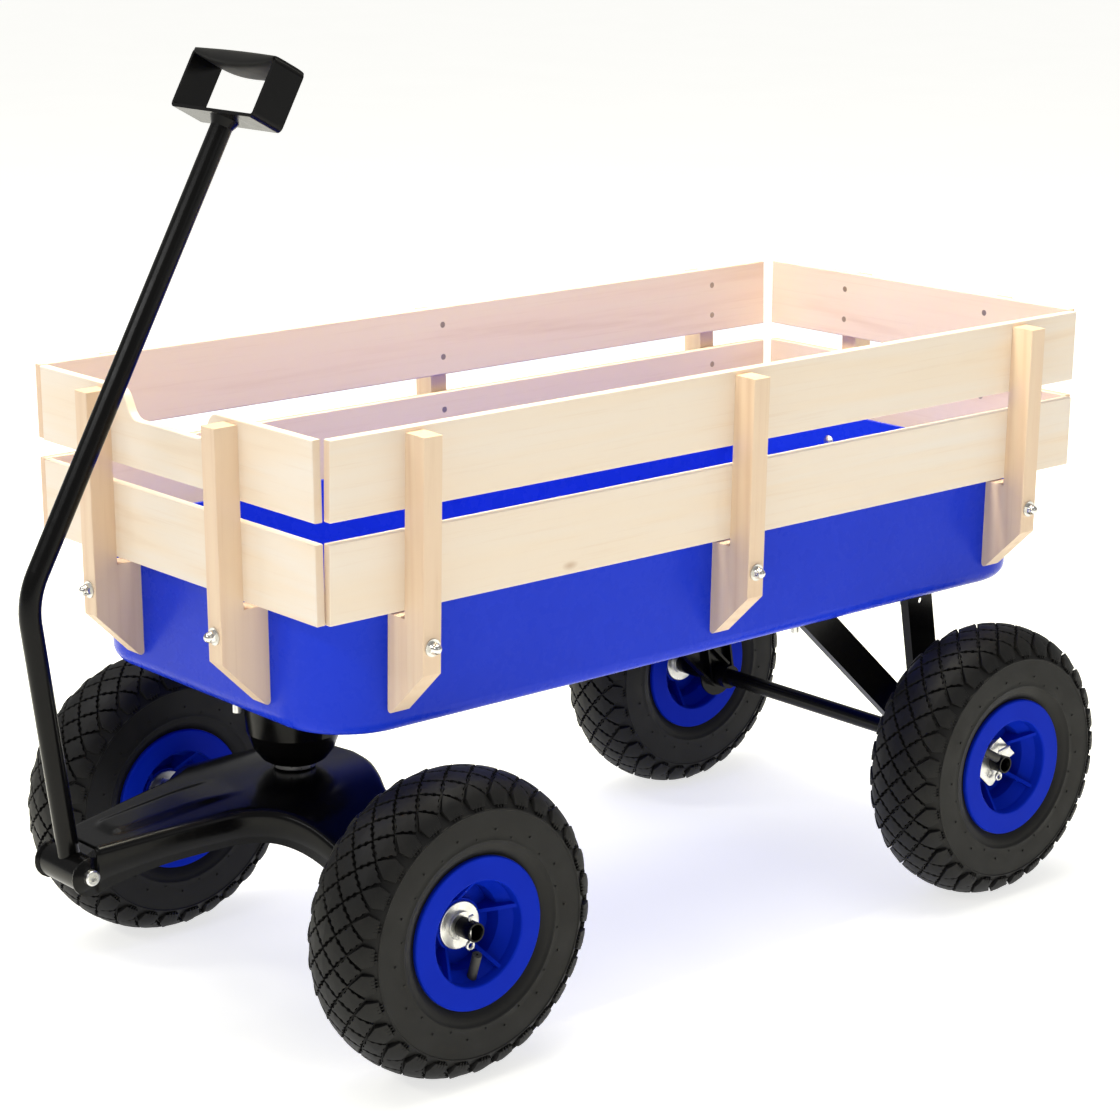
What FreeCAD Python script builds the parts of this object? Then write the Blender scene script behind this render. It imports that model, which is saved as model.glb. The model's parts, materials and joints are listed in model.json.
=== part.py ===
import FreeCAD, Part
import math
import os

# A four-wheeled wagon: a pressed steel tray with wooden side boards, a steering front bogie,
# a pull handle and four pneumatic wheels. Millimetres. +Z is up, the wagon stands on z = 0,
# the front faces -Y and the wagon's own left side faces +X. Shapes are made about the middle
# of the tray and are moved along Y and up at the end, so that the origin is under the middle of
# the whole wagon and the tyres stand on z = 0.

Vector = FreeCAD.Vector
UP = Vector(0, 0, 1)
ALONG_X = Vector(1, 0, 0)
ORIGIN = Vector(0, 0, 0)
FIT = 0.05                      # radial clearance of a shaft in its hole
GAP = 0.3                       # clearance between faces that move past each other
MIDDLE_Y = -57.8                # middle of the whole wagon, from the middle of the tray

# Tray
TRAY_HALF_X = 190.0
TRAY_HALF_Y = 436.0
TRAY_BOTTOM = 294.0
TRAY_RIM = 412.0
TRAY_SHEET = 1.6
TRAY_CORNER = 70.0
TRAY_FLOOR_RADIUS = 14.0
TRAY_TAPER_X = 2.8              # how much narrower the tray is at its floor, per side
TRAY_TAPER_Y = 1.3
RIM_BEAD = 5.5
RIM_BEAD_HEIGHT = 8.0

# Boards and posts
BOARD_THICK = 8.5
BOARD_HEIGHT = 67.5
BOARD_LOWER_Z = 407.0
BOARD_UPPER_Z = 492.0
BOARD_EDGE = 1.2
SIDE_FACE = 211.4               # outer faces of the boards and of the posts, from the tray's middle
SIDE_OUTER = 236.0
END_FACE = 459.7
END_OUTER = 483.0
SIDE_BOARD_HALF = 450.5
END_BOARD_HALF = 204.0
RIGHT_BOARD_SHIFT = 7.0         # how far forward the right side's boards sit
FRONT_BOARD_SHIFT = 3.5         # how far to the left the front boards sit
DIP_DEPTH = 25.0
DIP_HALF_FLOOR = 44.0
DIP_SHOULDER = 16.0
POST_WIDTH = 19.0
POST_TOP = 555.5
POST_STEP = 400.0
POST_CHAMFER_Z = 357.0
POST_EDGE = 1.0
BOLT_Z = 380.0
SCREW_OFFSET = 16.0

# Fasteners
BOLT_RADIUS = 3.0
BOLT_HEAD_RADIUS = 7.0
BOLT_HEAD_HEIGHT = 3.2
WASHER_RADIUS = 7.5
WASHER_THICK = 1.2
NUT_FLATS = 10.0
NUT_HEIGHT = 4.5
SCREW_RADIUS = 1.6
SCREW_HEAD_RADIUS = 3.0
BOLT_SEAT = 0.5                 # space under a carriage bolt's head, clear of the tray's corner curve
SCREW_LENGTH = 24.0
FLOOR_BOLT_RADIUS = 4.0
FLOOR_NUT_FLATS = 13.0
FLOOR_NUT_HEIGHT = 6.5

# Wheels and axles
TYRE_RADIUS = 134.0
TYRE_HALF_WIDTH = 42.2
AXLE_Z = 131.0
LIFT = TYRE_RADIUS - AXLE_Z     # how far the finished wagon is raised onto its tyres
TRACK_HALF = 221.0
FRONT_AXLE_Y = -337.0
REAR_AXLE_Y = 331.0
AXLE_RADIUS = 8.5
AXLE_BORE = 7.0
FRONT_AXLE_END = 255.0
REAR_AXLE_END = 250.0
COTTER_INSET = 8.5              # from the end of the axle
COTTER_RADIUS = 1.5
RIM_SEAT = 51.5
RIM_MOUTH = 46.0
RIM_FLANGE = 67.0
RIM_HALF = 38.0
STEP_RADIUS = 37.5              # of the inner recess, below the sloping step
WEB_HALF = 3.0
HUB_RADIUS = 23.0
HUB_HALF = 10.0
RIB_COUNT = 5
RIB_THICK = 3.6
RIB_ANGLE = 17.0
VALVE_ANGLE = -86.0
VALVE_RADIUS = 4.2
VALVE_LEAN = 0.41               # how far the valve stem moves outwards for each unit nearer the axle
VALVE_TIP_X = 33.0
VALVE_TIP_RADIUS = 20.0
BEARING_RADIUS = 14.0
BEARING_FLANGE = 21.0
BEARING_FACE = 13.2             # from the middle of the wheel to the bearing's outer face
WHEEL_TURN = {"front_left": 0.0, "rear_left": 232.0, "front_right": 44.0, "rear_right": 90.0}
COLLAR_RADIUS = 11.0
WHEEL_WASHER = 2.0
INNER_WASHER_X = TRACK_HALF - BEARING_FACE - GAP - WHEEL_WASHER
OUTER_WASHER_X = TRACK_HALF + BEARING_FACE + GAP

# Front bogie
BOGIE_TOP = 212.0
BOGIE_SHEET = 2.5
BOGIE_DEPTH = 30.0
ARM_END = 168.0
TONGUE_FRONT = -563.0
TONGUE_TOP = 191.0              # at y = -600, where the line of the tongue's top would reach
CLEVIS_HALF = 31.0
PIVOT_Y = -570.0
PIVOT_Z = 172.0
EAR_RADIUS = 17.0
PIVOT_BOLT_RADIUS = 4.0
KINGPIN_RADIUS = 6.0
BOLSTER_BOTTOM = 218.0
BOLSTER_BOLT_CIRCLE = 60.0
THRUST_RADIUS = 19.0

# Rear axle brackets
BRACKET_X = 155.0
BRACKET_SHEET = 2.5
BRACKET_LIP = 10.0
FRONT_LEG_TOP_Y = 158.0
REAR_LEG_TOP_Y = 304.0
FRONT_LEG_WIDTH = 31.0
REAR_LEG_WIDTH = 34.0
BRACKET_BOLT_X = 136.0
TAB_TURN = 43.0                 # degrees that the bent washer plates lie askew

# Handle
HANDLE_RADIUS = 9.5
HANDLE_BORE = 7.7
HANDLE_BEND_Z = 411.0
HANDLE_LOWER_LEAN = 7.5         # forwards, degrees
HANDLE_UPPER_LEAN = 28.8        # backwards, degrees
HANDLE_BEND_RADIUS = 70.0
HANDLE_UPPER_LENGTH = 430.0
BARREL_RADIUS = 15.0
GRIP_HALF = 60.0
GRIP_HEIGHT = 54.0
GRIP_STRIP = 3.0
GRIP_HALF_WIDTH = 16.0
GRIP_COVER_THICK = 15.0


# ---------------------------------------------------------------- general shapes

def box(low, high):
    size = [h - l for l, h in zip(low, high)]
    return Part.makeBox(size[0], size[1], size[2], Vector(*low))


def rod(radius, start, end):
    direction = Vector(*end) - Vector(*start)
    return Part.makeCylinder(radius, direction.Length, Vector(*start), direction)


def tube(radius, bore, start, end):
    return rod(radius, start, end).cut(rod(bore, start, end))


def polygon(points):
    corners = [Vector(*point) for point in points]
    return Part.makePolygon(corners + corners[:1])


def prism(points, direction):
    return Part.Face(polygon(points)).extrude(Vector(*direction))


def hexagon(flats, base, direction):
    """A hexagonal prism on base, as long as direction."""
    radius = flats / math.sqrt(3)
    corners = []
    for side in range(6):
        angle = math.radians(60 * side)
        corners.append((radius * math.cos(angle), radius * math.sin(angle), 0))
    solid = prism(corners, (0, 0, Vector(*direction).Length))
    turn = FreeCAD.Rotation(UP, Vector(*direction))
    solid.Placement = FreeCAD.Placement(Vector(*base), turn)
    return solid


def revolve_about_x(edges):
    return Part.Face(Part.Wire(edges)).revolve(ORIGIN, ALONG_X, 360)


def line(start, end):
    return Part.LineSegment(Vector(*start), Vector(*end)).toShape()


def curve(points, tangents=None):
    spline = Part.BSplineCurve()
    corners = [Vector(*point) for point in points]
    if tangents:
        first, last = [Vector(*tangent) for tangent in tangents]
        spline.interpolate(Points=corners, InitialTangent=first, FinalTangent=last)
    else:
        spline.interpolate(corners)
    return spline.toShape()


def rounded_rectangle(half_x, half_y, radius, z):
    """A closed wire of four lines and four quarter circles at height z."""
    edges = []
    diagonal = radius * math.sqrt(0.5)
    for quarter in range(4):
        turn = FreeCAD.Rotation(UP, 90 * quarter)
        along, across = (half_x, half_y) if quarter % 2 == 0 else (half_y, half_x)
        centre = Vector(along - radius, across - radius, 0)
        start = centre + Vector(radius, 0, 0)
        middle = centre + Vector(diagonal, diagonal, 0)
        end = centre + Vector(0, radius, 0)
        before = Vector(along, radius - across, 0)
        lift = Vector(0, 0, z)
        side = Part.LineSegment(turn.multVec(before) + lift, turn.multVec(start) + lift)
        arc = Part.Arc(*[turn.multVec(point) + lift for point in (start, middle, end)])
        edges.append(side.toShape())
        edges.append(arc.toShape())
    return Part.Wire(edges)


def edges_where(shape, test):
    return [edge for edge in shape.Edges if test(edge.CenterOfMass, edge)]


def round_edges(shape, radius, test=lambda centre: True):
    """Rounds the shape's full circles whose centres pass the test."""
    circles = [edge for edge in shape.Edges if edge.Curve.TypeId == "Part::GeomCircle"]
    return shape.makeFillet(radius, [edge for edge in circles if test(edge.CenterOfMass)])


def fuse_all(shapes):
    return shapes[0].fuse(shapes[1:]).removeSplitter()


def mirrored(shape):
    return shape.mirror(ORIGIN, ALONG_X)


# ---------------------------------------------------------------- tray

def tray_block(inset, bottom, top):
    """The tapered block inside the tray's wall, inset from its outer face."""
    wires = []
    for z, taper in ((bottom, 1.0), (top, 0.0)):
        half_x = TRAY_HALF_X - inset - taper * TRAY_TAPER_X
        half_y = TRAY_HALF_Y - inset - taper * TRAY_TAPER_Y
        wires.append(rounded_rectangle(half_x, half_y, TRAY_CORNER - inset, z))
    block = Part.makeLoft(wires, True, True)
    floor_edges = edges_where(block, lambda centre, edge: abs(centre.z - bottom) < 0.01)
    return block.makeFillet(TRAY_FLOOR_RADIUS - inset, floor_edges)


def make_tray(holes):
    inner = tray_block(TRAY_SHEET, TRAY_BOTTOM + TRAY_SHEET, TRAY_RIM)
    shell = tray_block(0, TRAY_BOTTOM, TRAY_RIM).cut(inner)
    ring_wire = rounded_rectangle(TRAY_HALF_X + RIM_BEAD, TRAY_HALF_Y + RIM_BEAD, TRAY_CORNER + RIM_BEAD,
                                  TRAY_RIM - RIM_BEAD_HEIGHT)
    ring = Part.Face(ring_wire).extrude(Vector(0, 0, RIM_BEAD_HEIGHT))
    middle_z = TRAY_RIM - RIM_BEAD_HEIGHT / 2
    level_edges = edges_where(ring, lambda centre, edge: abs(centre.z - middle_z) > 1)
    ring = ring.makeFillet(RIM_BEAD_HEIGHT / 2 - 0.2, level_edges)
    ring = ring.cut(inner)
    return fuse_all([shell, ring]).cut(Part.makeCompound(holes))


# ---------------------------------------------------------------- boards and posts

def wall_at_bolts(half, taper):
    """Where the tray's outer face is at the height of the post bolts."""
    return half - taper * (TRAY_RIM - BOLT_Z) / (TRAY_RIM - TRAY_BOTTOM)


class Side:
    """One side of the wagon, made as if it faced +X and then leaned and turned into place."""

    def __init__(self, turn, half, taper, face, outer, board_half, board_shift):
        self.turn = turn
        self.wall = wall_at_bolts(half, taper)
        self.lean = math.degrees(math.atan2(taper, TRAY_RIM - TRAY_BOTTOM))
        self.face = face
        self.outer = outer
        self.board_start = board_shift - board_half
        self.board_end = board_shift + board_half

    def place(self, shape, offset=0.0):
        placed = shape.copy()
        placed.rotate(Vector(self.wall, 0, BOLT_Z), Vector(0, 1, 0), self.lean)
        placed.translate(Vector(0, offset, 0))
        placed.rotate(ORIGIN, UP, self.turn)
        return placed


def plain_board(side, low):
    near = (side.face - BOARD_THICK, side.board_start, low)
    board = box(near, (side.face, side.board_end, low + BOARD_HEIGHT))
    return board.makeFillet(BOARD_EDGE, board.Edges)


def dipped_board(side, low):
    """A board with a shallow dip in the middle of its top edge, where the handle rests."""
    top = low + BOARD_HEIGHT
    floor = top - DIP_DEPTH
    middle = top - DIP_DEPTH / 2
    edge_y = DIP_HALF_FLOOR + 2 * DIP_SHOULDER
    back = side.face - BOARD_THICK
    level = ((0, 1, 0), (0, 1, 0))
    half_way = edge_y - DIP_SHOULDER
    left = curve([(back, -edge_y, top), (back, -half_way, middle), (back, -DIP_HALF_FLOOR, floor)], level)
    right = curve([(back, DIP_HALF_FLOOR, floor), (back, half_way, middle), (back, edge_y, top)], level)
    outline = [
        line((back, side.board_start, low), (back, side.board_start, top)),
        line((back, side.board_start, top), (back, -edge_y, top)),
        left,
        line((back, -DIP_HALF_FLOOR, floor), (back, DIP_HALF_FLOOR, floor)),
        right,
        line((back, edge_y, top), (back, side.board_end, top)),
        line((back, side.board_end, top), (back, side.board_end, low)),
        line((back, side.board_end, low), (back, side.board_start, low)),
    ]
    board = Part.Face(Part.Wire(outline)).extrude(Vector(BOARD_THICK, 0, 0))
    middle_x = side.face - BOARD_THICK / 2
    outline_edges = edges_where(board, lambda centre, edge: abs(centre.x - middle_x) > 1)
    return board.makeFillet(BOARD_EDGE, outline_edges)


def post(side):
    """An upright: notched below the boards so that its foot fills the space back to the tray."""
    half = POST_WIDTH / 2
    foot_z = POST_CHAMFER_Z - (side.outer - side.wall)
    corners = [
        (side.outer, -half, POST_TOP),
        (side.face, -half, POST_TOP),
        (side.face, -half, POST_STEP),
        (side.wall, -half, POST_STEP),
        (side.wall, -half, foot_z),
        (side.outer, -half, POST_CHAMFER_Z),
    ]
    body = prism(corners, (0, POST_WIDTH, 0))
    body = body.makeFillet(3.0, edges_where(body, lambda centre, edge: abs(centre.z - foot_z) < 0.01))
    near = side.outer - 1
    long_edges = edges_where(body, lambda centre, edge: centre.x > near and abs(centre.y) > half - 0.1)
    return body.makeFillet(POST_EDGE, long_edges)


def carriage_bolt(side):
    """A domed head inside the tray's wall and a plain shank out through the post."""
    inside = side.wall - TRAY_SHEET - BOLT_SEAT
    end = side.outer + WASHER_THICK + NUT_HEIGHT
    crown = Vector(inside - BOLT_HEAD_HEIGHT, 0, 0)
    shoulder = Vector(inside - BOLT_HEAD_HEIGHT * 0.72, BOLT_HEAD_RADIUS * 0.55, 0)
    rim = Vector(inside, BOLT_HEAD_RADIUS, 0)
    bolt = revolve_about_x([
        Part.Arc(crown, shoulder, rim).toShape(),
        line(rim, (inside, BOLT_RADIUS, 0)),
        line((inside, BOLT_RADIUS, 0), (end, BOLT_RADIUS, 0)),
        line((end, BOLT_RADIUS, 0), (end, 0, 0)),
        line((end, 0, 0), crown),
    ])
    bolt.translate(Vector(0, 0, BOLT_Z))
    return bolt


def acorn_nut(side):
    start = side.outer + WASHER_THICK
    body = hexagon(NUT_FLATS, (start, 0, BOLT_Z), (NUT_HEIGHT, 0, 0))
    taper = Part.makeCone(6.4, 4.4, NUT_HEIGHT + 0.4, Vector(start, 0, BOLT_Z), ALONG_X)
    dome = Part.makeSphere(4.5, Vector(start + NUT_HEIGHT - 0.2, 0, BOLT_Z))
    dome = dome.common(box((start + 0.5, -6, BOLT_Z - 6), (start + 20, 6, BOLT_Z + 6)))
    return fuse_all([body.common(taper), dome]).cut(carriage_bolt(side))


def post_washer(side):
    return tube(WASHER_RADIUS, BOLT_RADIUS, (side.outer, 0, BOLT_Z), (side.outer + WASHER_THICK, 0, BOLT_Z))


def board_screw(side, z):
    start = side.face - BOARD_THICK
    head = Part.makeCone(SCREW_HEAD_RADIUS, SCREW_RADIUS, 2.0, Vector(start, 0, z), ALONG_X)
    shank = rod(SCREW_RADIUS, (start, 0, z), (start + SCREW_LENGTH, 0, z))
    return fuse_all([head, shank])


def make_side(name, side, offsets, nodes, groups, holes):
    """All boards, posts and fasteners of one side. offsets gives each post's name and place."""
    lows = {"lower": BOARD_LOWER_Z, "upper": BOARD_UPPER_Z}
    screws = []
    for low in lows.values():
        for offset in offsets.values():
            for step in (-SCREW_OFFSET, SCREW_OFFSET):
                screws.append(side.place(board_screw(side, low + BOARD_HEIGHT / 2 + step), offset))
    groups["board_screws"].extend(screws)
    screw_tool = Part.makeCompound(screws)
    for level, low in lows.items():
        has_dip = name == "front" and level == "upper"
        board = dipped_board(side, low) if has_dip else plain_board(side, low)
        nodes["board_%s_%s" % (name, level)] = side.place(board).cut(screw_tool)
    for place, offset in offsets.items():
        bolt = side.place(carriage_bolt(side), offset)
        groups["carriage_bolts"].append(bolt)
        groups["acorn_nuts"].append(side.place(acorn_nut(side), offset))
        groups["post_washers"].append(side.place(post_washer(side), offset))
        drill = rod(BOLT_RADIUS, (side.wall - 20, 0, BOLT_Z), (side.outer + 20, 0, BOLT_Z))
        holes.append(side.place(drill, offset))
        nodes["post_%s_%s" % (name, place)] = side.place(post(side), offset).cut(screw_tool).cut(holes[-1])


# ---------------------------------------------------------------- under the tray

def floor_bolt(x, y):
    top = TRAY_BOTTOM + TRAY_SHEET
    head = rod(9.0, (x, y, top), (x, y, top + 3.0))
    head = head.makeFillet(2.4, edges_where(head, lambda centre, edge: centre.z > top + 2.9))
    shank = rod(FLOOR_BOLT_RADIUS, (x, y, top - 22), (x, y, top))
    return fuse_all([head, shank])


def floor_nut(x, y):
    top = TRAY_BOTTOM - 3.0
    nut = hexagon(FLOOR_NUT_FLATS, (x, y, top - FLOOR_NUT_HEIGHT), (0, 0, FLOOR_NUT_HEIGHT))
    washer = rod(8.5, (x, y, top - 1.2), (x, y, top))
    return fuse_all([nut, washer]).cut(rod(FLOOR_BOLT_RADIUS, (x, y, top - 20), (x, y, top)))


def make_bolster():
    """The pressed hat under the tray that carries the kingpin."""
    flange = TRAY_BOTTOM - 3.0
    corners = [
        (KINGPIN_RADIUS, BOLSTER_BOTTOM),
        (24, BOLSTER_BOTTOM),
        (29, BOLSTER_BOTTOM + 3),
        (36, BOLSTER_BOTTOM + 12),
        (42, BOLSTER_BOTTOM + 28),
        (46, flange - 3),
        (49, flange),
        (73, flange),
        (73, TRAY_BOTTOM),
        (46.5, TRAY_BOTTOM),
        (43, flange - 3),
        (39, BOLSTER_BOTTOM + 29),
        (33.2, BOLSTER_BOTTOM + 13.5),
        (27.5, BOLSTER_BOTTOM + 6),
        (23.3, BOLSTER_BOTTOM + 3),
        (KINGPIN_RADIUS, BOLSTER_BOTTOM + 3),
    ]
    section = polygon([(radius, 0, z) for radius, z in corners])
    hat = Part.Face(section).revolve(ORIGIN, UP, 360)
    hat.translate(Vector(0, FRONT_AXLE_Y, 0))
    return hat


def bolster_bolt_places():
    places = []
    for quarter in range(4):
        angle = math.radians(90 * quarter)
        x = BOLSTER_BOLT_CIRCLE * math.cos(angle)
        places.append((x, FRONT_AXLE_Y + BOLSTER_BOLT_CIRCLE * math.sin(angle)))
    return places


def bracket_bolt_places():
    places = []
    for x in (-BRACKET_BOLT_X, BRACKET_BOLT_X):
        places.append((x, FRONT_LEG_TOP_Y - 6))
        places.append((x, REAR_LEG_TOP_Y))
    return places


def make_kingpin():
    head = hexagon(19, (0, FRONT_AXLE_Y, BOLSTER_BOTTOM + 3), (0, 0, 8))
    shank = rod(KINGPIN_RADIUS, (0, FRONT_AXLE_Y, BOGIE_TOP - 17), (0, FRONT_AXLE_Y, BOLSTER_BOTTOM + 3))
    return fuse_all([head, shank])


def make_kingpin_nut():
    top = BOGIE_TOP - BOGIE_SHEET - GAP
    above = (0, FRONT_AXLE_Y, top)
    nut = hexagon(19, (0, FRONT_AXLE_Y, top - 11), (0, 0, 9))
    washer = rod(14, (0, FRONT_AXLE_Y, top - 2), above)
    return fuse_all([nut, washer]).cut(rod(KINGPIN_RADIUS, (0, FRONT_AXLE_Y, top - 30), above))


def make_thrust_washer():
    start = (0, FRONT_AXLE_Y, BOGIE_TOP + GAP)
    end = (0, FRONT_AXLE_Y, BOLSTER_BOTTOM)
    ring = rod(THRUST_RADIUS, start, end)
    return round_edges(ring, 1.2).cut(rod(KINGPIN_RADIUS, start, end))


# ---------------------------------------------------------------- rear axle

def leg(top_y, width):
    """One channel-shaped leg of a rear bracket, from under the tray down to the axle."""
    top = Vector(0, top_y, TRAY_BOTTOM)
    foot = Vector(0, REAR_AXLE_Y, AXLE_Z)
    down = (foot - top).normalize()
    across = down.cross(ALONG_X)
    start = top - down * width
    strips = [
        (-width / 2, width / 2, BRACKET_SHEET),
        (-width / 2, BRACKET_SHEET - width / 2, BRACKET_LIP),
        (width / 2 - BRACKET_SHEET, width / 2, BRACKET_LIP),
    ]
    pieces = []
    for low, high, depth in strips:
        corners = [start + across * low, start + across * high, foot + across * high, foot + across * low]
        points = [(BRACKET_X - depth, corner.y, corner.z) for corner in corners]
        pieces.append(prism(points, (depth, 0, 0)))
    return fuse_all(pieces)


def make_left_bracket(axle, bolts):
    legs = fuse_all([leg(FRONT_LEG_TOP_Y, FRONT_LEG_WIDTH), leg(REAR_LEG_TOP_Y, REAR_LEG_WIDTH)])
    legs = legs.cut(box((0, 0, TRAY_BOTTOM - 3), (300, 600, 600)))
    boss = rod(24, (BRACKET_X - BRACKET_SHEET, REAR_AXLE_Y, AXLE_Z), (BRACKET_X, REAR_AXLE_Y, AXLE_Z))
    saddle_start = (BRACKET_X - 22, REAR_AXLE_Y, AXLE_Z)
    saddle = tube(12.5, AXLE_RADIUS, saddle_start, (BRACKET_X, REAR_AXLE_Y, AXLE_Z))
    tabs = []
    for middle, width in ((FRONT_LEG_TOP_Y - 6, FRONT_LEG_WIDTH + 8), (REAR_LEG_TOP_Y, REAR_LEG_WIDTH)):
        near = (BRACKET_X - 36, middle - width / 2, TRAY_BOTTOM - 3)
        tab = box(near, (BRACKET_X, middle + width / 2, TRAY_BOTTOM))
        inner_x = BRACKET_X - 35
        corners = edges_where(tab, lambda centre, edge: abs(edge.Length - 3) < 0.01 and centre.x < inner_x)
        tabs.append(tab.makeFillet(8, corners))
    hole_y = REAR_LEG_TOP_Y + 3
    hole_z = TRAY_BOTTOM - 13
    hole = rod(3.0, (BRACKET_X - 20, hole_y, hole_z), (BRACKET_X + 5, hole_y, hole_z))
    bracket = fuse_all([legs, boss, saddle] + tabs)
    return bracket.cut(axle).cut(hole).cut(bolts)


def cotter_hole(x, y):
    return rod(COTTER_RADIUS + FIT, (x, y, AXLE_Z - 20), (x, y, AXLE_Z + 20))


def cotter_pin(x, y, leg_length):
    """A split pin: a round eye under the axle, a shank through it and its leg bent over to the rear."""
    top = AXLE_Z + AXLE_RADIUS + 3
    shank = rod(COTTER_RADIUS, (x, y, AXLE_Z - AXLE_RADIUS - 2.5), (x, y, top))
    eye = Part.makeTorus(3.4, 1.3, Vector(x, y, AXLE_Z - AXLE_RADIUS - 5.2), Vector(1, 0, 0))
    elbow = Part.makeSphere(COTTER_RADIUS, Vector(x, y, top))
    leg = rod(COTTER_RADIUS, (x, y, top), (x, y + leg_length, top + leg_length * 0.15))
    return fuse_all([shank, eye, elbow, leg])


def collar(x_inner, x_outer, y):
    return rod(COLLAR_RADIUS, (x_inner, y, AXLE_Z), (x_outer, y, AXLE_Z))


def rear_axle_ends():
    return (-REAR_AXLE_END, REAR_AXLE_Y, AXLE_Z), (REAR_AXLE_END, REAR_AXLE_Y, AXLE_Z)


def make_rear_axle():
    start, end = rear_axle_ends()
    left = collar(BRACKET_X, INNER_WASHER_X, REAR_AXLE_Y)
    solid = fuse_all([rod(AXLE_RADIUS, start, end), left, mirrored(left)])
    bore = rod(AXLE_BORE, start, end)
    pin_x = REAR_AXLE_END - COTTER_INSET
    pin_holes = [cotter_hole(x, REAR_AXLE_Y) for x in (-pin_x, pin_x)]
    return solid.cut(bore).cut(Part.makeCompound(pin_holes))


def round_washer(x, y):
    return tube(12.5, AXLE_RADIUS, (x, y, AXLE_Z), (x + WHEEL_WASHER, y, AXLE_Z))


def tab_washer(x):
    """A square-cut washer plate, turned askew, with one edge bent a little outwards."""
    section = [(0, -22), (1.6, -22), (1.6, 11.6), (5.4, 19.8), (4.0, 20.6), (0, 12)]
    points = [(x + out, REAR_AXLE_Y - 15, AXLE_Z + up) for out, up in section]
    plate = prism(points, (0, 30, 0))
    low = AXLE_Z - 21.9
    corners = edges_where(plate, lambda centre, edge: abs(edge.Length - 1.6) < 0.01 and centre.z < low)
    plate = plate.makeFillet(6, corners)
    plate.rotate(Vector(0, REAR_AXLE_Y, AXLE_Z), ALONG_X, -TAB_TURN)
    return plate.cut(rod(AXLE_RADIUS, (x - 1, REAR_AXLE_Y, AXLE_Z), (x + 20, REAR_AXLE_Y, AXLE_Z)))


# ---------------------------------------------------------------- front bogie

def arch_points(drop):
    """The bogie's top from one arm end to the other, seen from the front, lowered by drop."""
    right = [(ARM_END + 2, 143), (140, 172), (120, 186), (100, 196.5), (80, 204), (60, 209.5)]
    right.append((36, BOGIE_TOP))
    points = [(-x, z - drop) for x, z in right]
    points.extend((x, z - drop) for x, z in reversed(right))
    return points


def bogie_block(plan, drop):
    """Everything under the bogie's top surface, inside a closed wire seen from above."""
    low = 60.0
    points = arch_points(drop)
    edges = [
        curve([(x, -700, z) for x, z in points]),
        line((points[-1][0], -700, points[-1][1]), (points[-1][0], -700, low)),
        line((points[-1][0], -700, low), (points[0][0], -700, low)),
        line((points[0][0], -700, low), (points[0][0], -700, points[0][1])),
    ]
    arch = Part.Face(Part.Wire(edges)).extrude(Vector(0, 600, 0))
    front_z = TONGUE_TOP - drop
    back_z = BOGIE_TOP - drop
    ramp = prism([
        (-300, -600, front_z),
        (-300, -398, back_z),
        (-300, -100, back_z),
        (-300, -100, low),
        (-300, -600, low),
    ], (600, 0, 0))
    column = Part.Face(plan).extrude(Vector(0, 0, 200))
    column.translate(Vector(0, 0, low))
    return column.common(arch).common(ramp).Solids[0]


def inset_points(points, first, last, inset):
    """Points moved to the left of the way they run, where first and last are the end directions."""
    moved = []
    for number, (x, y) in enumerate(points):
        along = Vector(*first, 0) if number == 0 else Vector(*last, 0)
        if 0 < number < len(points) - 1:
            along = Vector(*points[number + 1], 0) - Vector(*points[number - 1], 0)
        along.normalize()
        moved.append((x - inset * along.y, y + inset * along.x, 0))
    return moved


def bogie_outline(inset, reach):
    """The bogie from above: a tapered tongue that spreads into two swept arms.

    The edge is moved inwards by inset, and the open ends of tongue and arms outwards by reach.
    """
    front_edge = inset_points([(51, -462), (58, -434), (73, -411), (96, -396), (ARM_END, -373)],
                              (0.22, 1), (1, 0.25), inset)
    rear_edge = inset_points([(ARM_END, -302), (118, -300), (84, -296), (56, -284), (0, -268)],
                             (-1, 0), (-1, 0), inset)
    front_edge[-1] = (ARM_END + reach, front_edge[-1][1] + reach * 0.25, 0)
    rear_edge[0] = (ARM_END + reach, rear_edge[0][1], 0)
    nose = TONGUE_FRONT - reach
    half = [
        line((CLEVIS_HALF - inset, nose, 0), front_edge[0]),
        curve(front_edge, ((0.22, 1, 0), (1, 0.25, 0))),
        line(front_edge[-1], rear_edge[0]),
        curve(rear_edge, ((-1, 0, 0), (-1, 0, 0))),
    ]
    other = [edge.mirror(ORIGIN, ALONG_X) for edge in reversed(half)]
    front = line((inset - CLEVIS_HALF, nose, 0), (CLEVIS_HALF - inset, nose, 0))
    return Part.Wire(Part.__sortEdges__([front] + half + other))


def clevis_ear():
    x = CLEVIS_HALF - BOGIE_SHEET
    eye = rod(EAR_RADIUS, (x, PIVOT_Y, PIVOT_Z), (CLEVIS_HALF, PIVOT_Y, PIVOT_Z))
    corners = [
        (x, PIVOT_Y, PIVOT_Z - EAR_RADIUS),
        (x, TONGUE_FRONT + 10, PIVOT_Z - 8),
        (x, TONGUE_FRONT + 10, 195.0),
        (x, PIVOT_Y, PIVOT_Z + EAR_RADIUS),
    ]
    return fuse_all([eye, prism(corners, (BOGIE_SHEET, 0, 0))])


def raised_panel():
    """The shallow raised spine pressed into the top of the tongue."""
    def ring(inset, lift):
        corners = []
        for x, y in ((-17, -535), (17, -535), (27, -425), (-27, -425)):
            pull = inset if x < 0 else -inset
            z = TONGUE_TOP + (y + 600) * (BOGIE_TOP - TONGUE_TOP) / 202.0 + lift
            corners.append((x + pull, y + (inset * 2 if y < -500 else -inset * 2), z))
        return polygon(corners)
    return Part.makeLoft([ring(-1.5, -2.0), ring(5, 2.2)], True, True)


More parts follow.
